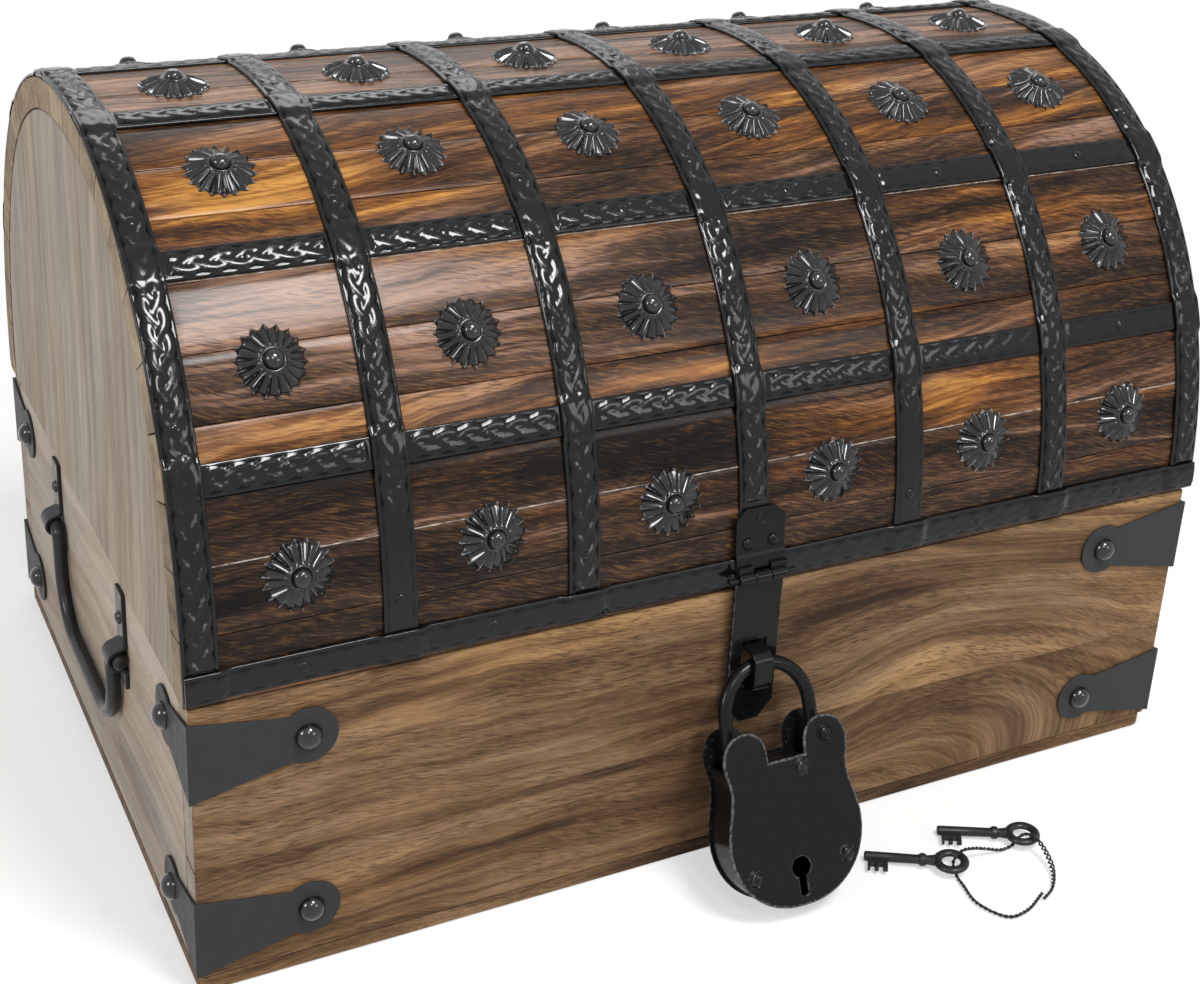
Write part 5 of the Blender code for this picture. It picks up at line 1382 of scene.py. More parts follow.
# %% [markdown]
# Hinges are two leaves with rolled knuckles on one pin. A leaf on the lid follows the lid's curve and steps
# down off the border strip, so it is lofted along the arc. Its free end may have clipped corners.

# %% Hinge parts
BARREL, PIN = 2.4, 1.1
LEAF = 1.2
ROD_EASE = 0.25
TAB_GAP = 0.15  # on each side of a tab, inside its knuckle's span


def rod_x(axis, start, end, radius):
    """A round rod along X with eased ends."""
    eased, length = radius - ROD_EASE, end - start
    profile = ((eased, 0), (radius, ROD_EASE), (radius, length - ROD_EASE), (eased, length))
    return turned(profile, (start, axis[0], axis[1]), (1, 0, 0))


def knuckle_spans(middle, width):
    """Three spans along the pin, with a gap between neighbours."""
    edges = np.linspace(middle - width / 2, middle + width / 2, 4)
    return [(a + GAP / 2, b - GAP / 2) for a, b in zip(edges, edges[1:])]


def lid_leaf(middle_x, half_width, start, end, over, from_back, clip=0.0):
    """Leaf on the lid: over the border strip, then a step down to the staves or the strap."""
    step = STRIP_ARCS[0] + REACH
    low = over - SHEET - GAP
    straight = np.linspace(start, end - max(clip, 0.2), 26)
    stations = np.concatenate([straight, np.linspace(end - clip, end, 6)[1:]])
    lifts = eased_route(stations, [(start - 9, over), (step, over), (step + RAMP, low), (end + 9, low)])
    halves = half_width - np.clip(stations - (end - clip), 0, None)
    arcs = CROWN_LENGTH - stations if from_back else stations
    rings = []
    for place, lift, half in zip(arcs, lifts, halves):
        corners = ((-half, lift), (-half, lift + LEAF), (half, lift + LEAF), (half, lift))
        rings.append([on_crown(middle_x + u, place, np.array(h)) for u, h in corners])
    return loft(rings)


print("hinge barrel and pin in mm:", 2 * BARREL, 2 * PIN)

# %% [markdown]
# Two strap hinges at the back carry the lid. The fixed leaf is nailed to the back board and has the two
# outer knuckles; the moving leaf lies on the lid and has the middle one and the pin. A small tab joins each
# knuckle to its leaf, so nothing hangs in the air when the lid stands open.

# %% Rear hinges
REAR_AXIS = (152.4, 119.225)
HINGE_HALF_WIDTH = 13.0
HINGE_DROP = 24
HINGE_NAILS = ((-8.5, 8), (8.5, 8), (0, 17))  # from the leaf's middle and down from its top
HINGE_ARC = (2.475, 24.0)  # where the moving leaf starts and ends, from the back seam


def fixed_leaf(middle_x):
    left, _, right = knuckle_spans(middle_x, 2 * HINGE_HALF_WIDTH)
    base_top = REAR_AXIS[1] - BARREL
    surface = HALF_DEPTH + GAP + LEAF
    leaf_low = (middle_x - HINGE_HALF_WIDTH, HALF_DEPTH + GAP, base_top - HINGE_DROP)
    parts = [block(leaf_low, (middle_x + HINGE_HALF_WIDTH, surface, base_top - GAP))]
    for start, end in (left, right):
        tab_low = (start + TAB_GAP, HALF_DEPTH + 0.7, base_top - LEAF)
        parts.append(block(tab_low, (end - TAB_GAP, *REAR_AXIS)))
    parts += [rod_x(REAR_AXIS, start, end, BARREL) for start, end in (left, right)]
    for u, drop in HINGE_NAILS:
        parts.append(nail((middle_x + u, surface, base_top - drop), (0, 1, 0), 2.2, 1.1, 20))
    return joined(*parts)


def moving_leaf(middle_x):
    left, middle, right = knuckle_spans(middle_x, 2 * HINGE_HALF_WIDTH)
    leaf = lid_leaf(middle_x, HINGE_HALF_WIDTH, *HINGE_ARC, OVER_SHEET, True)
    tab_low = (middle[0] + TAB_GAP, HALF_DEPTH + OVER_SHEET + 0.2, REAR_AXIS[1])
    tab = block(tab_low, (middle[1] - TAB_GAP, REAR_AXIS[0], REAR_AXIS[1] + BARREL + 2 * LEAF))
    barrel = rod_x(REAR_AXIS, *middle, BARREL)
    pin = rod_x(REAR_AXIS, left[0] - 1.2, right[1] + 1.2, PIN)
    return joined(leaf, tab, barrel, pin)


for side_name, middle_x in zip(("left", "right"), REAR_HINGE_XS):
    look = {"material": BRACKET_GREY, "slot": "grey_sheet", "bevel": 0.15}
    fixed, moving = f"rear_hinge_fixed_{side_name}", f"rear_hinge_moving_{side_name}"
    piece(fixed, fixed_leaf(middle_x), body="base", nodes=[f"hinge_base_leaf_{side_name}"], **look)
    piece(moving, moving_leaf(middle_x), body="lid", nodes=[f"hinge_lid_leaf_{side_name}"], **look)
print("rear hinges at x in mm:", REAR_HINGE_XS)

# %% [markdown]
# Flat steel pieces with a hole, such as the hasp's plate and the padlock's face, have rubbed edges. The
# plate helper below lays rings of points inside the outline: a bevel, then a narrow band where the wear
# fades out. It does so round the hole too, and fills the rest flat. A boolean could cut the hole, but it
# would leave no ring of points to hold the wear.

# %% Plate with a hole


def shifted(outline, distance):
    """A closed outline moved to its left by a distance."""
    outline = np.asarray(outline, float)
    wrapped = np.vstack([outline[-1:], outline, outline[:1]])
    return offset(wrapped, distance)[1:-1]


def area_sign(outline):
    x, z = np.asarray(outline).T
    return np.sign(np.sum(x * np.roll(z, -1) - np.roll(x, -1) * z))


def edge_rings(outline, face, back, ease, worn, shares, inward):
    """Rings from the back edge over a bevel to where the wear ends: (outline, depth, wear)."""
    toward = 1 if back > face else -1
    rings = [(outline, back, shares[0]), (outline, face + toward * ease, shares[1])]
    rings += [(shifted(outline, inward * ease), face, shares[2])]
    return [*rings, (shifted(outline, inward * worn), face, 0.0)]


def skin_rings(shell, rings, place):
    """Adds rings to a mesh, joins neighbours with quads, and gives the rings' points."""
    loops = [[shell.verts.new(place(u, v, depth)) for u, v in ring] for ring, depth, _ in rings]
    for low, high in zip(loops, loops[1:]):
        for i in range(len(low)):
            j = (i + 1) % len(low)
            shell.faces.new((low[i], low[j], high[j], high[i]))
    return loops


def plate(outline, face, back, place, hole=None, ease=0.4, worn=1.6):
    """A flat plate between two depths, and its wear. Place turns (u, v, depth) into a point."""
    groups = [edge_rings(outline, face, back, ease, worn, (0.45, 0.8, 1.0), area_sign(outline))]
    if hole is not None:
        groups.append(edge_rings(hole, face, back, ease, worn * 0.6, (0.2, 0.6, 0.7), -area_sign(hole)))
    shell = bmesh.new()
    made = [skin_rings(shell, rings, place) for rings in groups]
    for level in (0, -1):
        edges = []
        for loops in made:
            ring = loops[level]
            edges += [shell.edges.get((ring[i], ring[(i + 1) % len(ring)])) for i in range(len(ring))]
        bmesh.ops.triangle_fill(shell, use_beauty=True, edges=edges)
    shell.verts.index_update()
    points = np.array([v.co[:] for v in shell.verts])
    faces = [tuple(v.index for v in face.verts) for face in shell.faces]
    shell.free()
    wear_and_highlight = [share for rings in groups for ring, _, share in rings for _ in ring]
    return (points, faces), np.array(wear_and_highlight)


def wear_of_whole(wear_and_highlight, whole, rest):
    """The plate's wear, and one value for all points that were joined to the plate."""
    return {"wear_and_highlight": np.concatenate([wear_and_highlight, np.full(len(whole[0]) - len(wear_and_highlight), rest)])}


square = [(0, 0), (9, 0), (9, 9), (0, 9)]
print("points of a square plate:", len(plate(square, 0.0, 1.0, lambda u, v, d: (u, v, d))[1]))

# %% [markdown]
# The hasp's leaf lies over the border strip and down on the middle strap, held by two rivets. The third
# ring on it is only pressed in. The middle knuckle belongs to the hanging plate, which has a slot for the
# staple and clipped corners at its tip.

# %% Hasp
HASP_AXIS = (-153.4, 126.0)
HASP_TIP = 61.0
HASP_LEAF_ARC = (9.25, 33.0)
HASP_LEAF_CLIP = 4.0
HASP_OVER = 3 * GAP + 2 * SHEET  # the leaf runs over the border strip, which runs over the strap
HASP_CORNER = (6, 7.4)  # what is clipped from the plate's tip, across and up
SLOT_HALF, SLOT_LOW, SLOT_HIGH = 5.2, 75.6, 97.2
HASP_INNER = -HALF_DEPTH - 2.95
PRESSED_RING = ((2.3, -0.1), (2.3, 0.25), (1.9, 0.45), (1.5, 0.4), (1.3, 0.1))


def hasp_leaf():
    left, _, right = knuckle_spans(HASP_X, 2 * HASP_HALF_WIDTH)
    parts = [lid_leaf(HASP_X, HASP_HALF_WIDTH, *HASP_LEAF_ARC, HASP_OVER, False, HASP_LEAF_CLIP)]
    for start, end in (left, right):
        tab_high = (end - TAB_GAP, -HALF_DEPTH - HASP_OVER - 0.2, HASP_AXIS[1] + BARREL + 2 * LEAF)
        parts.append(block((start + TAB_GAP, *HASP_AXIS), tab_high))
        parts.append(rod_x(HASP_AXIS, start, end, BARREL))
    parts.append(rod_x(HASP_AXIS, left[0] - 4, right[1] + 4, PIN))
    rest = HASP_OVER - SHEET - GAP + LEAF
    point, _, outward = crown_frame(np.array([19.5, 28.5]))
    rivets_yz, ring_yz = point + outward * rest
    for u in (-5.5, 5.5):
        parts.append(nail((HASP_X + u, *rivets_yz), (0, *outward[0]), 2.4, 1.6))
    parts.append(turned(PRESSED_RING, (HASP_X, *ring_yz), (0, *outward[1]), 24))
    return joined(*parts)


def hasp_plate():
    """The hanging plate with its slot, and the wear of its edges."""
    _, middle, _ = knuckle_spans(HASP_X, 2 * HASP_HALF_WIDTH)
    left, right, top = HASP_X - HASP_HALF_WIDTH, HASP_X + HASP_HALF_WIDTH, HASP_AXIS[1] - BARREL - GAP
    clip_x, clip_z = HASP_CORNER
    outline = [(left, top), (right, top), (right, HASP_TIP + clip_z), (right - clip_x, HASP_TIP)]
    outline += [(left + clip_x, HASP_TIP), (left, HASP_TIP + clip_z)]
    slot_left, slot_right = HASP_X - SLOT_HALF, HASP_X + SLOT_HALF
    slot = [(slot_left, SLOT_LOW), (slot_right, SLOT_LOW), (slot_right, SLOT_HIGH), (slot_left, SLOT_HIGH)]
    shape, wear_and_highlight = plate(outline, HASP_INNER - LEAF, HASP_INNER, lambda u, v, d: (u, d, v), slot, 0.3, 1.2)
    tab_low = (middle[0] + TAB_GAP, HASP_AXIS[0], HASP_AXIS[1] - BARREL - LEAF)
    tab = block(tab_low, (middle[1] - TAB_GAP, HASP_INNER - 0.2, HASP_AXIS[1]))
    whole = joined(shape, tab, rod_x(HASP_AXIS, *middle, BARREL))
    return whole, wear_of_whole(0.7 * wear_and_highlight, whole, 0.0)


piece("hasp_leaf_on_lid", hasp_leaf(), LOCK_BLACK, "lid", ["hasp_lid_leaf"], "lock_steel", bevel=0.18)
whole, looks = hasp_plate()
piece("hasp_hanging_plate", whole, LOCK_BLACK, "hasp", ["hasp_plate"], "lock_steel", attributes=looks)
print("hasp length in mm:", HASP_AXIS[1] - HASP_TIP)

# %% [markdown]
# The staple is a bent strip that stands on the front board. It comes through the hasp's slot, and the
# padlock's shackle goes through it.

# %% Staple
STAPLE_SHEET, STAPLE_HALF_WIDTH = 1.6, 4
STAPLE_LOW, STAPLE_HIGH = 78.0, 95.0
STAPLE_BEND = 5
STAPLE_STRAIGHT = 7.9  # where the bends start, out from the wall


def staple():
    path = [(GAP, STAPLE_HIGH)]
    path += arc((STAPLE_STRAIGHT, STAPLE_HIGH - STAPLE_BEND), STAPLE_BEND, 90, 0, 9)
    path += arc((STAPLE_STRAIGHT, STAPLE_LOW + STAPLE_BEND), STAPLE_BEND, 0, -90, 9)
    path += [(GAP, STAPLE_LOW)]

    def place(out, z, w):
        return (HASP_X + w, -HALF_DEPTH - out, z)

    return bent_sheet(path, -STAPLE_SHEET, place, -STAPLE_HALF_WIDTH, STAPLE_HALF_WIDTH)


piece("staple_loop", staple(), LOCK_BLACK, "base", ["hasp_staple"], "lock_steel", bevel=0.35)
print("staple stands out in mm:", STAPLE_STRAIGHT + STAPLE_BEND)

# %% [markdown]
# The padlock is the old warded kind: two pressed plates with a band between them, riveted, an open notch
# between two ears, and a shackle that swings on a pivot in one ear. It hangs from the staple and leans out,
# because the hasp's plate holds its back away from the chest. All of it is written in the lock's own plane,
# with the shackle's bar at the staple as the origin, and one function leans it into place. The outline is a
# table of points with a smooth curve through them.

# %% Padlock frame and outline
LEAN_SIN, LEAN_COS = math.sin(math.radians(24)), math.cos(math.radians(24))
BAR_PLACE = (4.5, -155.3, 88.6)
CASE_TOP, CASE_BOTTOM, CASE_HALF = 23.0, 92.7, 29.2
CASE_HALF_DEPTH, CASE_PLATE = 8.75, 1.2
PIVOT = (17.6, -30.0)
# Right half of the case from the notch down: shares of the half width and of the height
CASE_SHARES = (
    *((0.274, 0.187), (0.280, 0.115), (0.335, 0.052), (0.450, 0.010), (0.603, 0.000), (0.755, 0.015)),
    *((0.870, 0.062), (0.925, 0.130), (0.915, 0.200), (0.872, 0.285), (0.890, 0.370), (0.945, 0.460)),
    *((0.990, 0.545), (1.000, 0.610), (0.975, 0.700), (0.885, 0.800), (0.735, 0.885), (0.520, 0.952)),
    (0.265, 0.990),
)
FINE = 5  # points drawn for each point of the table


def lock_place(x, y, z):
    """A point of the lock's plane, y pointing back, leaned into the chest's frame."""
    return (
        BAR_PLACE[0] + x,
        BAR_PLACE[1] + y * LEAN_COS + z * LEAN_SIN,
        BAR_PLACE[2] - y * LEAN_SIN + z * LEAN_COS,
    )


def leaned(shape):
    points, faces = shape
    return np.array([lock_place(*point) for point in points]), faces


def smooth_line(points, steps):
    """A Catmull-Rom curve through the points."""
    points = np.asarray(points, float)
    ends = np.vstack([2 * points[0] - points[1], points, 2 * points[-1] - points[-2]])
    line = []
    for a, b, c, d in zip(ends, ends[1:], ends[2:], ends[3:]):
        slope, bend, twist = c - a, 2 * a - 5 * b + 4 * c - d, 3 * b - a - 3 * c + d
        line += [(2 * b + slope * s + bend * s**2 + twist * s**3) / 2 for s in np.arange(steps) / steps]
    return np.array([*line, points[-1]])


def case_line():
    right = [(u * CASE_HALF, -CASE_TOP - v * (CASE_BOTTOM - CASE_TOP)) for u, v in CASE_SHARES]
    return smooth_line([*right, (0, -CASE_BOTTOM), *[(-x, z) for x, z in right[::-1]]], FINE)


CASE_LINE = case_line()
print("padlock case in mm:", 2 * CASE_HALF, "x", round(CASE_BOTTOM - CASE_TOP, 1), "x", 2 * CASE_HALF_DEPTH)

# %% [markdown]
# The face is a plate with the keyhole cut through it, a round top and a slot below. Its three rivets have a
# ring pressed round them, and their square shanks run through the case. The rear plate carries the small
# inside parts that hold the bolt. The band is bent sheet between the plates, round the sides and the
# bottom, and leaves both ears open.

# %% Padlock case
CASE_RIVETS = ((5.84, -40.5), (20.44, -77.5), (-20.44, -77.5))
CASE_INSIDE = 7.25  # half the width of the band
KEYHOLE_Z, KEYHOLE_RADIUS, KEYHOLE_SLOT = -78, 4.0, 1.6
RIVET_PROFILE = (
    *((3.5, -0.2), (3.5, 0.1), (3.1, 0.42), (2.7, 0.12)),
    *((2.35, 0.2), (2.25, 0.9), (1.7, 1.4), (0.6, 1.6)),
)
SHANK_HALF, SHANK_FRONT, SHANK_BACK = 1.3, -7.6, 7.2
NOTCH_SHARE = CASE_SHARES[0][1]
BAND_START = 8 * FINE  # the band starts at the ninth point of the table
BAND_SHEET, BAND_INSET = 1.6, 1.0


def keyhole():
    slot = KEYHOLE_SLOT
    side = math.degrees(math.asin(slot / KEYHOLE_RADIUS))
    outline = arc((0, KEYHOLE_Z), KEYHOLE_RADIUS, -90 + side, 270 - side, 22)
    outline += [(-slot, KEYHOLE_Z - 6), (-slot, KEYHOLE_Z - 10), (-slot * 0.7, KEYHOLE_Z - 10.8)]
    outline += [(0, KEYHOLE_Z - 11.0)]
    return outline + [(slot * 0.7, KEYHOLE_Z - 10.8), (slot, KEYHOLE_Z - 10), (slot, KEYHOLE_Z - 6)]


def case_plate(side, hole=None):
    """A front (side -1) or rear plate of the case."""
    face, back = side * CASE_HALF_DEPTH, side * (CASE_HALF_DEPTH - CASE_PLATE)
    return plate(CASE_LINE, face, back, lambda u, v, d: (u, d, v), hole)


def ringed_rivet(x, z, y, side):
    """A small rivet head with a ring pressed round it."""
    return turned(RIVET_PROFILE, (x, y, z), (0, side, 0), 24)


def lock_face():
    shape, wear_and_highlight = case_plate(-1, keyhole())
    parts = [ringed_rivet(x, z, -CASE_HALF_DEPTH, -1) for x, z in CASE_RIVETS]
    for x, z in CASE_RIVETS:
        low = (x - SHANK_HALF, SHANK_FRONT, z - SHANK_HALF)
        parts.append(block(low, (x + SHANK_HALF, SHANK_BACK, z + SHANK_HALF)))
    whole = joined(shape, *parts)
    return leaned(whole), wear_of_whole(wear_and_highlight, whole, 0.55)


def lock_rear():
    """Rear plate with the notch's flange, and the guide and the stop of the bolt."""
    shape, wear_and_highlight = case_plate(1)
    floor_z = -CASE_TOP - NOTCH_SHARE * (CASE_BOTTOM - CASE_TOP)
    flange = block((-8.0, -CASE_INSIDE, floor_z - 2.0), (8.0, 7.9, floor_z - 0.4))
    guide = block((-15.45, -3.0, -33.5), (-9.15, 7.9, -32.3))
    stop = block((-10.35, -3.0, -32.4), (-9.15, 7.9, -29.5))
    whole = joined(shape, flange, guide, stop)
    return leaned(whole), wear_of_whole(wear_and_highlight, whole, 0.0)


def lock_band():
    path = offset(CASE_LINE[BAND_START : len(CASE_LINE) - BAND_START], -BAND_INSET)
    return bent_sheet(path, -BAND_SHEET, lambda u, v, w: lock_place(u, w, v), -CASE_INSIDE, CASE_INSIDE)


shape, looks = lock_face()
piece("lock_face", shape, LOCK_BLACK, "lock_case", ["lock_front_plate"], "lock_steel", attributes=looks)
shape, looks = lock_rear()
piece("lock_rear", shape, LOCK_BLACK, "lock_case", ["lock_back_plate"], "lock_steel", attributes=looks)
piece("lock_side_band", lock_band(), LOCK_BLACK, "lock_case", ["lock_band"], "lock_steel", bevel=0.3)
print("rivets in the case:", len(CASE_RIVETS))

# %% [markdown]
# Inside the case a spring pushes the bolt into the notch of the shackle's free leg. Both are small and out
# of sight. The bolt slides as the case turns; the spring is stiff here. The pivot rivet goes right through
# and shows its ringed head on both faces.

# %% Pivot, bolt and spring
PIVOT_HALF, PIVOT_RADIUS = 9.45, 1.5
BOLT_LOW, BOLT_HIGH = (-17.45, -2.7, -32.0), (-13.85, 3.0, -29.5)
SPRING_START, SPRING_END, SPRING_Z = -13.25, -10.95, -30.75
SPRING_TURNS, SPRING_WIRE, SPRING_POINTS = 3, 0.3, 96


def lock_pivot():
    shank = ((PIVOT_RADIUS, 0), (PIVOT_RADIUS, 2 * PIVOT_HALF))
    parts = [turned(shank, (PIVOT[0], -PIVOT_HALF, PIVOT[1]), (0, 1, 0), 20)]
    parts += [ringed_rivet(*PIVOT, side * (CASE_HALF_DEPTH + 0.1), side) for side in (-1, 1)]
    return leaned(joined(*parts))


def lock_spring():
    turns = np.linspace(0, 2 * np.pi * SPRING_TURNS, SPRING_POINTS)
    x = np.linspace(SPRING_START, SPRING_END, SPRING_POINTS)
    path = np.column_stack([x, np.cos(turns), SPRING_Z + np.sin(turns)])
    return leaned(tube(path, SPRING_WIRE, 8))


bolt = leaned(block(BOLT_LOW, BOLT_HIGH))
piece("lock_pivot", lock_pivot(), LOCK_BLACK, "lock_case", ["lock_pivot_rivet"], "lock_steel")
piece("lock_sliding_bolt", bolt, KEY_IRON, "bolt", ["lock_bolt"], "key_steel", bevel=0.25)
piece("lock_coil_spring", lock_spring(), KEY_IRON, "lock_case", ["lock_spring"], "key_steel")
print("bolt is", round(BOLT_HIGH[0] - BOLT_LOW[0], 2), "mm long")

# %% [markdown]
# The shackle is one round bar: a free leg with a rounded tip, an arch, and a leg that ends in an eye round
# the pivot. The free leg has a notch for the bolt. It is cut by pushing the tube's points flat on one side,
# with a point row close to each end of the notch to keep its shoulders square.

# %% Shackle
SHACKLE_RADIUS, ARCH = 2.75, 18.5
FREE_LEG = PIVOT[0] - 2 * ARCH
FREE_TIP = ((-41.0, 1.6), (-40.6, 2.35), (-40.0, 2.7), (-39.2, SHACKLE_RADIUS))  # height and radius
NOTCH_LOW, NOTCH_HIGH, NOTCH_DEPTH = -39.0, -28.3, 1.0
LEG_ROWS = (NOTCH_LOW, -38.95, -29.0, -28.35, NOTCH_HIGH, -24.0)
EYE_PROFILE = ((3.9, 0), (4.4, 0.5), (4.4, 5.8), (3.9, 6.3))


def shackle():
    """Free leg, arch and pivoted leg with its eye."""
    path = [(FREE_LEG, 0, z) for z, _ in FREE_TIP]
    radii = [radius for _, radius in FREE_TIP]
    path += [(FREE_LEG, 0, z) for z in LEG_ROWS]
    path += [(x, 0, z) for x, z in arc((PIVOT[0] - ARCH, -ARCH), ARCH, 180, 0, 44)]
    path += [(PIVOT[0], 0, -24.0), (PIVOT[0], 0, PIVOT[1])]
    radii += [SHACKLE_RADIUS] * (len(path) - len(radii))
    points, faces = tube(path, radii, 24)
    x, _, z = points.T
    inside = (z < NOTCH_HIGH) & (z > NOTCH_LOW) & (x < 0)
    points[inside, 0] = np.minimum(x[inside], FREE_LEG + SHACKLE_RADIUS - NOTCH_DEPTH)
    eye = turned(EYE_PROFILE, (PIVOT[0], -3.15, PIVOT[1]), (0, 1, 0))
    return leaned(joined((points, faces), eye))


piece("shackle_bar", shackle(), LOCK_BLACK, "shackle", ["lock_shackle"], "lock_steel")
print("shackle bar in mm:", 2 * SHACKLE_RADIUS)

# %% [markdown]
# The keys are cast: a ring bow, a round shank with a collar, and a flat bit with two cuts. They lie on the
# floor at the right of the padlock, with the bow a little higher than the tip, so that the wire passes
# under it.

# %% Keys
KEY_LENGTH, BOW, BOW_WIRE, BOW_THICKNESS = 34.5, 5.4, 1.8, 1.35
KEY_BOWS = ((74.0, -198.0, 4.0), (111.5, -195.0, 4.0))
KEY_HEADINGS = (146.8, 149.2)
KEY_REST = 2.05  # height of the shank's end over the floor
# The shank from the bow to its tip: radius and distance from the bow's middle
SHANK = (
    *((2.3, 6.4), (2.0, 8.0), (1.85, 9.6), (2.2, 10.0), (2.6, 10.5), (2.6, 12.1), (2.2, 12.6), (1.85, 13.2)),
    *((1.95, 24.0), (2.0, KEY_LENGTH - 0.6), (1.5, KEY_LENGTH)),
)
BIT_START, BIT_END, BIT_HALF = 25.0, 33.0, 1.0
BIT_REACH, CUT_REACH, CUT = 8.0, 5.4, 1.6
CUT_STARTS = (BIT_START + 2.0, BIT_START + 5.33)


def key_bow():
    """A flattened ring."""
    section = np.linspace(0, 2 * np.pi, 14, endpoint=False)
    rings = []
    for t in [*np.linspace(0, 2 * np.pi, 40, endpoint=False), 0.0]:
        radius = BOW + BOW_WIRE * np.cos(section)
        ring = [radius * np.cos(t), radius * np.sin(t), BOW_THICKNESS * np.sin(section)]
        rings.append(np.column_stack(ring))
    return loft(rings, caps=False)


def key_bit():
    outline = [(BIT_START, 0), (BIT_START, BIT_REACH)]
    for start in CUT_STARTS:
        outline += [(start, BIT_REACH), (start, CUT_REACH)]
        outline += [(start + CUT, CUT_REACH), (start + CUT, BIT_REACH)]
    outline += [(BIT_END, BIT_REACH), (BIT_END, 0)]
    return loft([[(x, y, z) for x, y in outline] for z in (-BIT_HALF, BIT_HALF)])


def laid_key(name, node_name, bow, heading):
    """One key is written along X with its bow at the origin, then pitched and turned into its place."""
    points, faces = joined(key_bow(), turned(SHANK, (0, 0, 0), (1, 0, 0), 22), key_bit())
    pitch = math.asin((bow[2] - KEY_REST) / KEY_LENGTH)
    turn = Matrix.Rotation(math.radians(heading), 3, "Z") @ Matrix.Rotation(pitch, 3, "Y")
    shape = (points @ np.array(turn).T + np.array(bow), faces)
    piece(name, shape, KEY_IRON, "keys", [node_name], "key_steel", bevel=0.2)


for number, (bow, heading) in enumerate(zip(KEY_BOWS, KEY_HEADINGS), 1):
    laid_key(f"warded_key_{number}", f"key_{number}", bow, heading)
print("key length in mm:", KEY_LENGTH + BOW + BOW_WIRE)

# %% [markdown]
# A twist of two thin wires runs through both bows. The wire is stiff metal, so it stays as it was bent. Two
# strands wound round one route, half a turn apart, give the twist. Near the second key the spare end is
# wound back over the wire, so the twist is looser and thicker there.

# %% Key wire
# Points of the route from the first key's bow: x, y and height over the floor
WIRE_ROUTE = (
    *((24.5, -27.2, 1.1), (13, -33, 1.1), (3, -33, 1.1), (-3, -22, 1.1), (-1.8, -11, 1.1), (-0.8, -5.4, 1.1)),
    *((0.6, -0.6, 3.8), (5.4, 1, 6.7), (12, 1.6, 5.6), (19, 1.2, 3.4), (25.5, 0.8, 1.3), (31.8, 1.6, 1.1)),
    *((36.8, 2.4, 3.8), (38.2, -2.8, 6.7), (38.4, -10, 5.2)),
    *((36.6, -18, 2.2), (30.5, -26, 1.1), (23, -30.2, 1.1)),
)
WIRE_STEPS = 16
STRAND_RADIUS, STRAND_PITCH = 0.37, 4.2
SPREAD, LOOSE_SPREAD = 0.38, 0.5  # the strands' distance from the route, and what the loose part adds
LOOSE_MIDDLE, LOOSE_HALF = 0.84, 0.09  # as shares of the wire's length


def wire_frame():
    """The route, its length up to each point, and two directions square to it."""
    route = smooth_line(WIRE_ROUTE, WIRE_STEPS) + np.array((*KEY_BOWS[0][:2], 0.0))
    along = np.gradient(route, axis=0)
    along /= np.linalg.norm(along, axis=1)[:, None]
    length = np.concatenate([[0], np.cumsum(np.linalg.norm(np.diff(route, axis=0), axis=1))])
    across = np.cross(along, (0, 0, 1))
    across /= np.linalg.norm(across, axis=1)[:, None]
    return route, length, across, np.cross(across, along)


def key_twist():
    """Adds the wire and gives its length."""
    route, length, across, up = wire_frame()
    share = length / length[-1]
    loose = np.clip(1 - np.abs(share - LOOSE_MIDDLE) / LOOSE_HALF, 0, 1) ** 0.5
    spread = SPREAD + LOOSE_SPREAD * loose[:, None]
    strands = []
    for phase in (0, np.pi):
        turn = 2 * np.pi * length / STRAND_PITCH + phase
        strand = route + spread * (np.cos(turn)[:, None] * across + np.sin(turn)[:, None] * up)
        strands.append(tube(strand, STRAND_RADIUS, 8))
    piece("twisted_key_wire", joined(*strands), KEY_IRON, "keys", ["key_wire"], "key_steel")
    return length[-1]


print("wire length in mm:", round(key_twist()))

# %% [markdown]
# The chest stands on a plain pale floor, under an even sky. What the camera sees of the sky is plain white,
# and far from the chest the floor runs out into it, so the picture has a white ground with a soft shadow on
# it. Rays that are mirrored see that white too; only the light that falls on the chest comes from the
# weaker sky. Light Path tells these rays apart.

# %% Floor and background
FLOOR_HALF = 4  # metres
FLOOR_Z = -0.0002
PAPER_SHADES = ("#f1f0ee", "#f5f4f2")
WHITE = "#ffffff"
SKY_STRENGTH = 0.33
# The floor turns white between these two distances, in metres, from this share at the chest on
FADE_START, FADE_END, FADE_SHARE = 0.35, 1.1, 0.5


def seen_ray(tree):
    """1 for rays that draw the background: from the camera, in a mirror or through glass."""
    ray = node(tree, "LightPath").outputs
    mirrored = {0: ray["Is Camera Ray"], 1: ray["Is Glossy Ray"]}
    shown = node(tree, "Math", mirrored, operation="MAXIMUM").outputs[0]
    return node(tree, "Math", {0: shown, 1: ray["Is Transmission Ray"]}, operation="MAXIMUM").outputs[0]


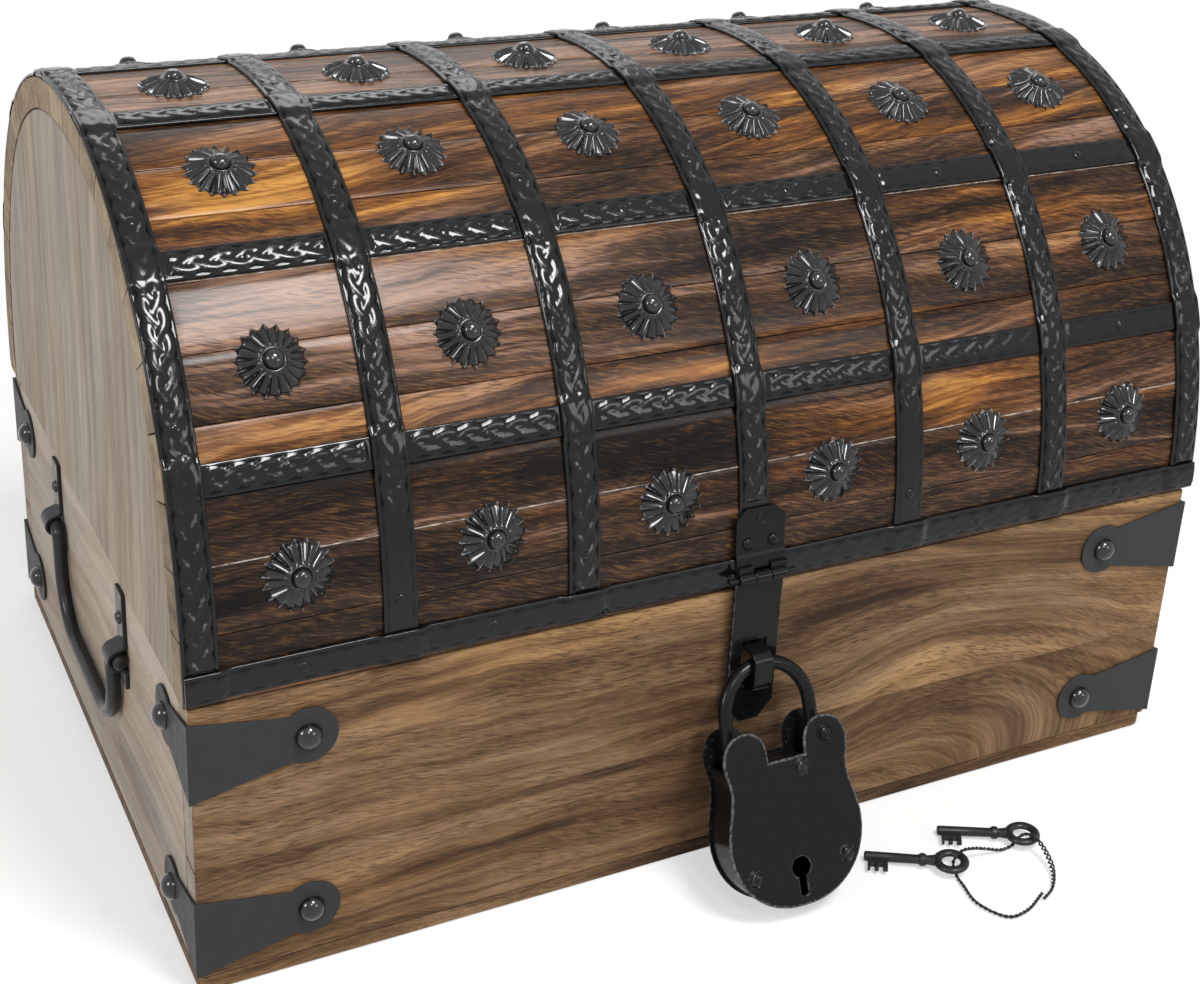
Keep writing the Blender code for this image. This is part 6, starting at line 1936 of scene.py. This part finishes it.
def floor_paper():
    """Pale paper with a grain too fine to see, which keeps it from being one flat tone."""
    material, tree = empty_material("pale floor paper")
    place = node(tree, "TexCoord").outputs["Object"]
    fleck = node(tree, "TexNoise", {"Vector": place, "Scale": 40.0, "Detail": 2.0}).outputs["Fac"]
    tint = {"Factor": fleck, 6: linear(PAPER_SHADES[0]), 7: linear(PAPER_SHADES[1])}
    colour = node(tree, "Mix", tint, data_type="RGBA").outputs[2]
    paper = node(tree, "BsdfPrincipled", {"Base Color": colour, "Roughness": 0.85, "Specular IOR Level": 0.2})
    away = node(tree, "VectorMath", {0: place}, operation="LENGTH").outputs["Value"]
    fade = {"Value": away, "From Min": FADE_START, "From Max": FADE_END, "To Min": FADE_SHARE, "To Max": 1.0}
    washed = node(tree, "MapRange", fade, interpolation_type="SMOOTHSTEP").outputs[0]
    factor = node(tree, "Math", {0: washed, 1: seen_ray(tree)}, operation="MULTIPLY").outputs[0]
    white = node(tree, "Emission", {"Color": linear(WHITE), "Strength": 1.0})
    shader = node(tree, "MixShader", {0: factor, 1: paper.outputs[0], 2: white.outputs[0]})
    node(tree, "OutputMaterial", {"Surface": shader.outputs[0]})
    return material


def add_floor():
    half = FLOOR_HALF
    corners = [(x, y, FLOOR_Z) for x, y in ((-half, -half), (half, -half), (half, half), (-half, half))]
    mesh = bpy.data.meshes.new("floor")
    mesh.from_pydata(corners, [], [(0, 1, 2, 3)])
    mesh.materials.append(floor_paper())
    floor = bpy.data.objects.new("floor", mesh)
    bpy.context.scene.collection.objects.link(floor)


def add_sky():
    world = bpy.data.worlds.new("studio")
    bpy.context.scene.world = world
    world.use_nodes = True
    tree = world.node_tree
    tree.nodes.clear()
    light = node(tree, "Background", {"Color": linear(WHITE), "Strength": SKY_STRENGTH})
    white = node(tree, "Background", {"Color": linear(WHITE), "Strength": 1.0})
    mixed = node(tree, "MixShader", {0: seen_ray(tree), 1: light.outputs[0], 2: white.outputs[0]})
    node(tree, "OutputWorld", {"Surface": mixed.outputs[0]})


add_floor()
add_sky()
print("floor in metres:", 2 * FLOOR_HALF, "sky strength:", SKY_STRENGTH)

# %% [markdown]
# Black lacquer is drawn by what it mirrors, so the shape and place of the soft lights matter more than
# their strength. The key light is set where its mirror image falls on the upper left of the lid. A small
# one in front picks out the petals, a low one opens the front, one at the left fills the end board, and one
# behind is for the views from there.

# %% Soft lights
# Name, place, what it points at, width and height, all in metres, and watts
SOFT_LIGHTS = (
    ("key softbox", (0.2, -0.88, 1.6), (0, 0, 0.15), (0.4, 0.46), 23.0),
    ("front softbox", (-0.3, -1.2, 1.3), (0, 0, 0.2), (0.26, 0.26), 5.0),
    ("low softbox", (0.75, -1.5, 0.8), (0, 0, 0.15), (0.6, 0.5), 4.5),
    ("left softbox", (-1.5, -0.45, 1.0), (-0.1, 0, 0.12), (0.34, 0.5), 10.5),
    ("back softbox", (0.25, 1.5, 1.45), (0, 0, 0.15), (1.1, 0.7), 8.0),
)


def soft_light(name, place, target, size, power):
    light = bpy.data.lights.new(name, "AREA")
    light.shape = "RECTANGLE"
    light.size, light.size_y = size
    light.energy = power
    lamp = bpy.data.objects.new(name, light)
    lamp.location = place
    lamp.rotation_euler = (Vector(target) - Vector(place)).to_track_quat("-Z", "Y").to_euler()
    bpy.context.scene.collection.objects.link(lamp)


for row in SOFT_LIGHTS:
    soft_light(*row)
print("soft lights:", len(SOFT_LIGHTS), "watts in all:", sum(row[-1] for row in SOFT_LIGHTS))
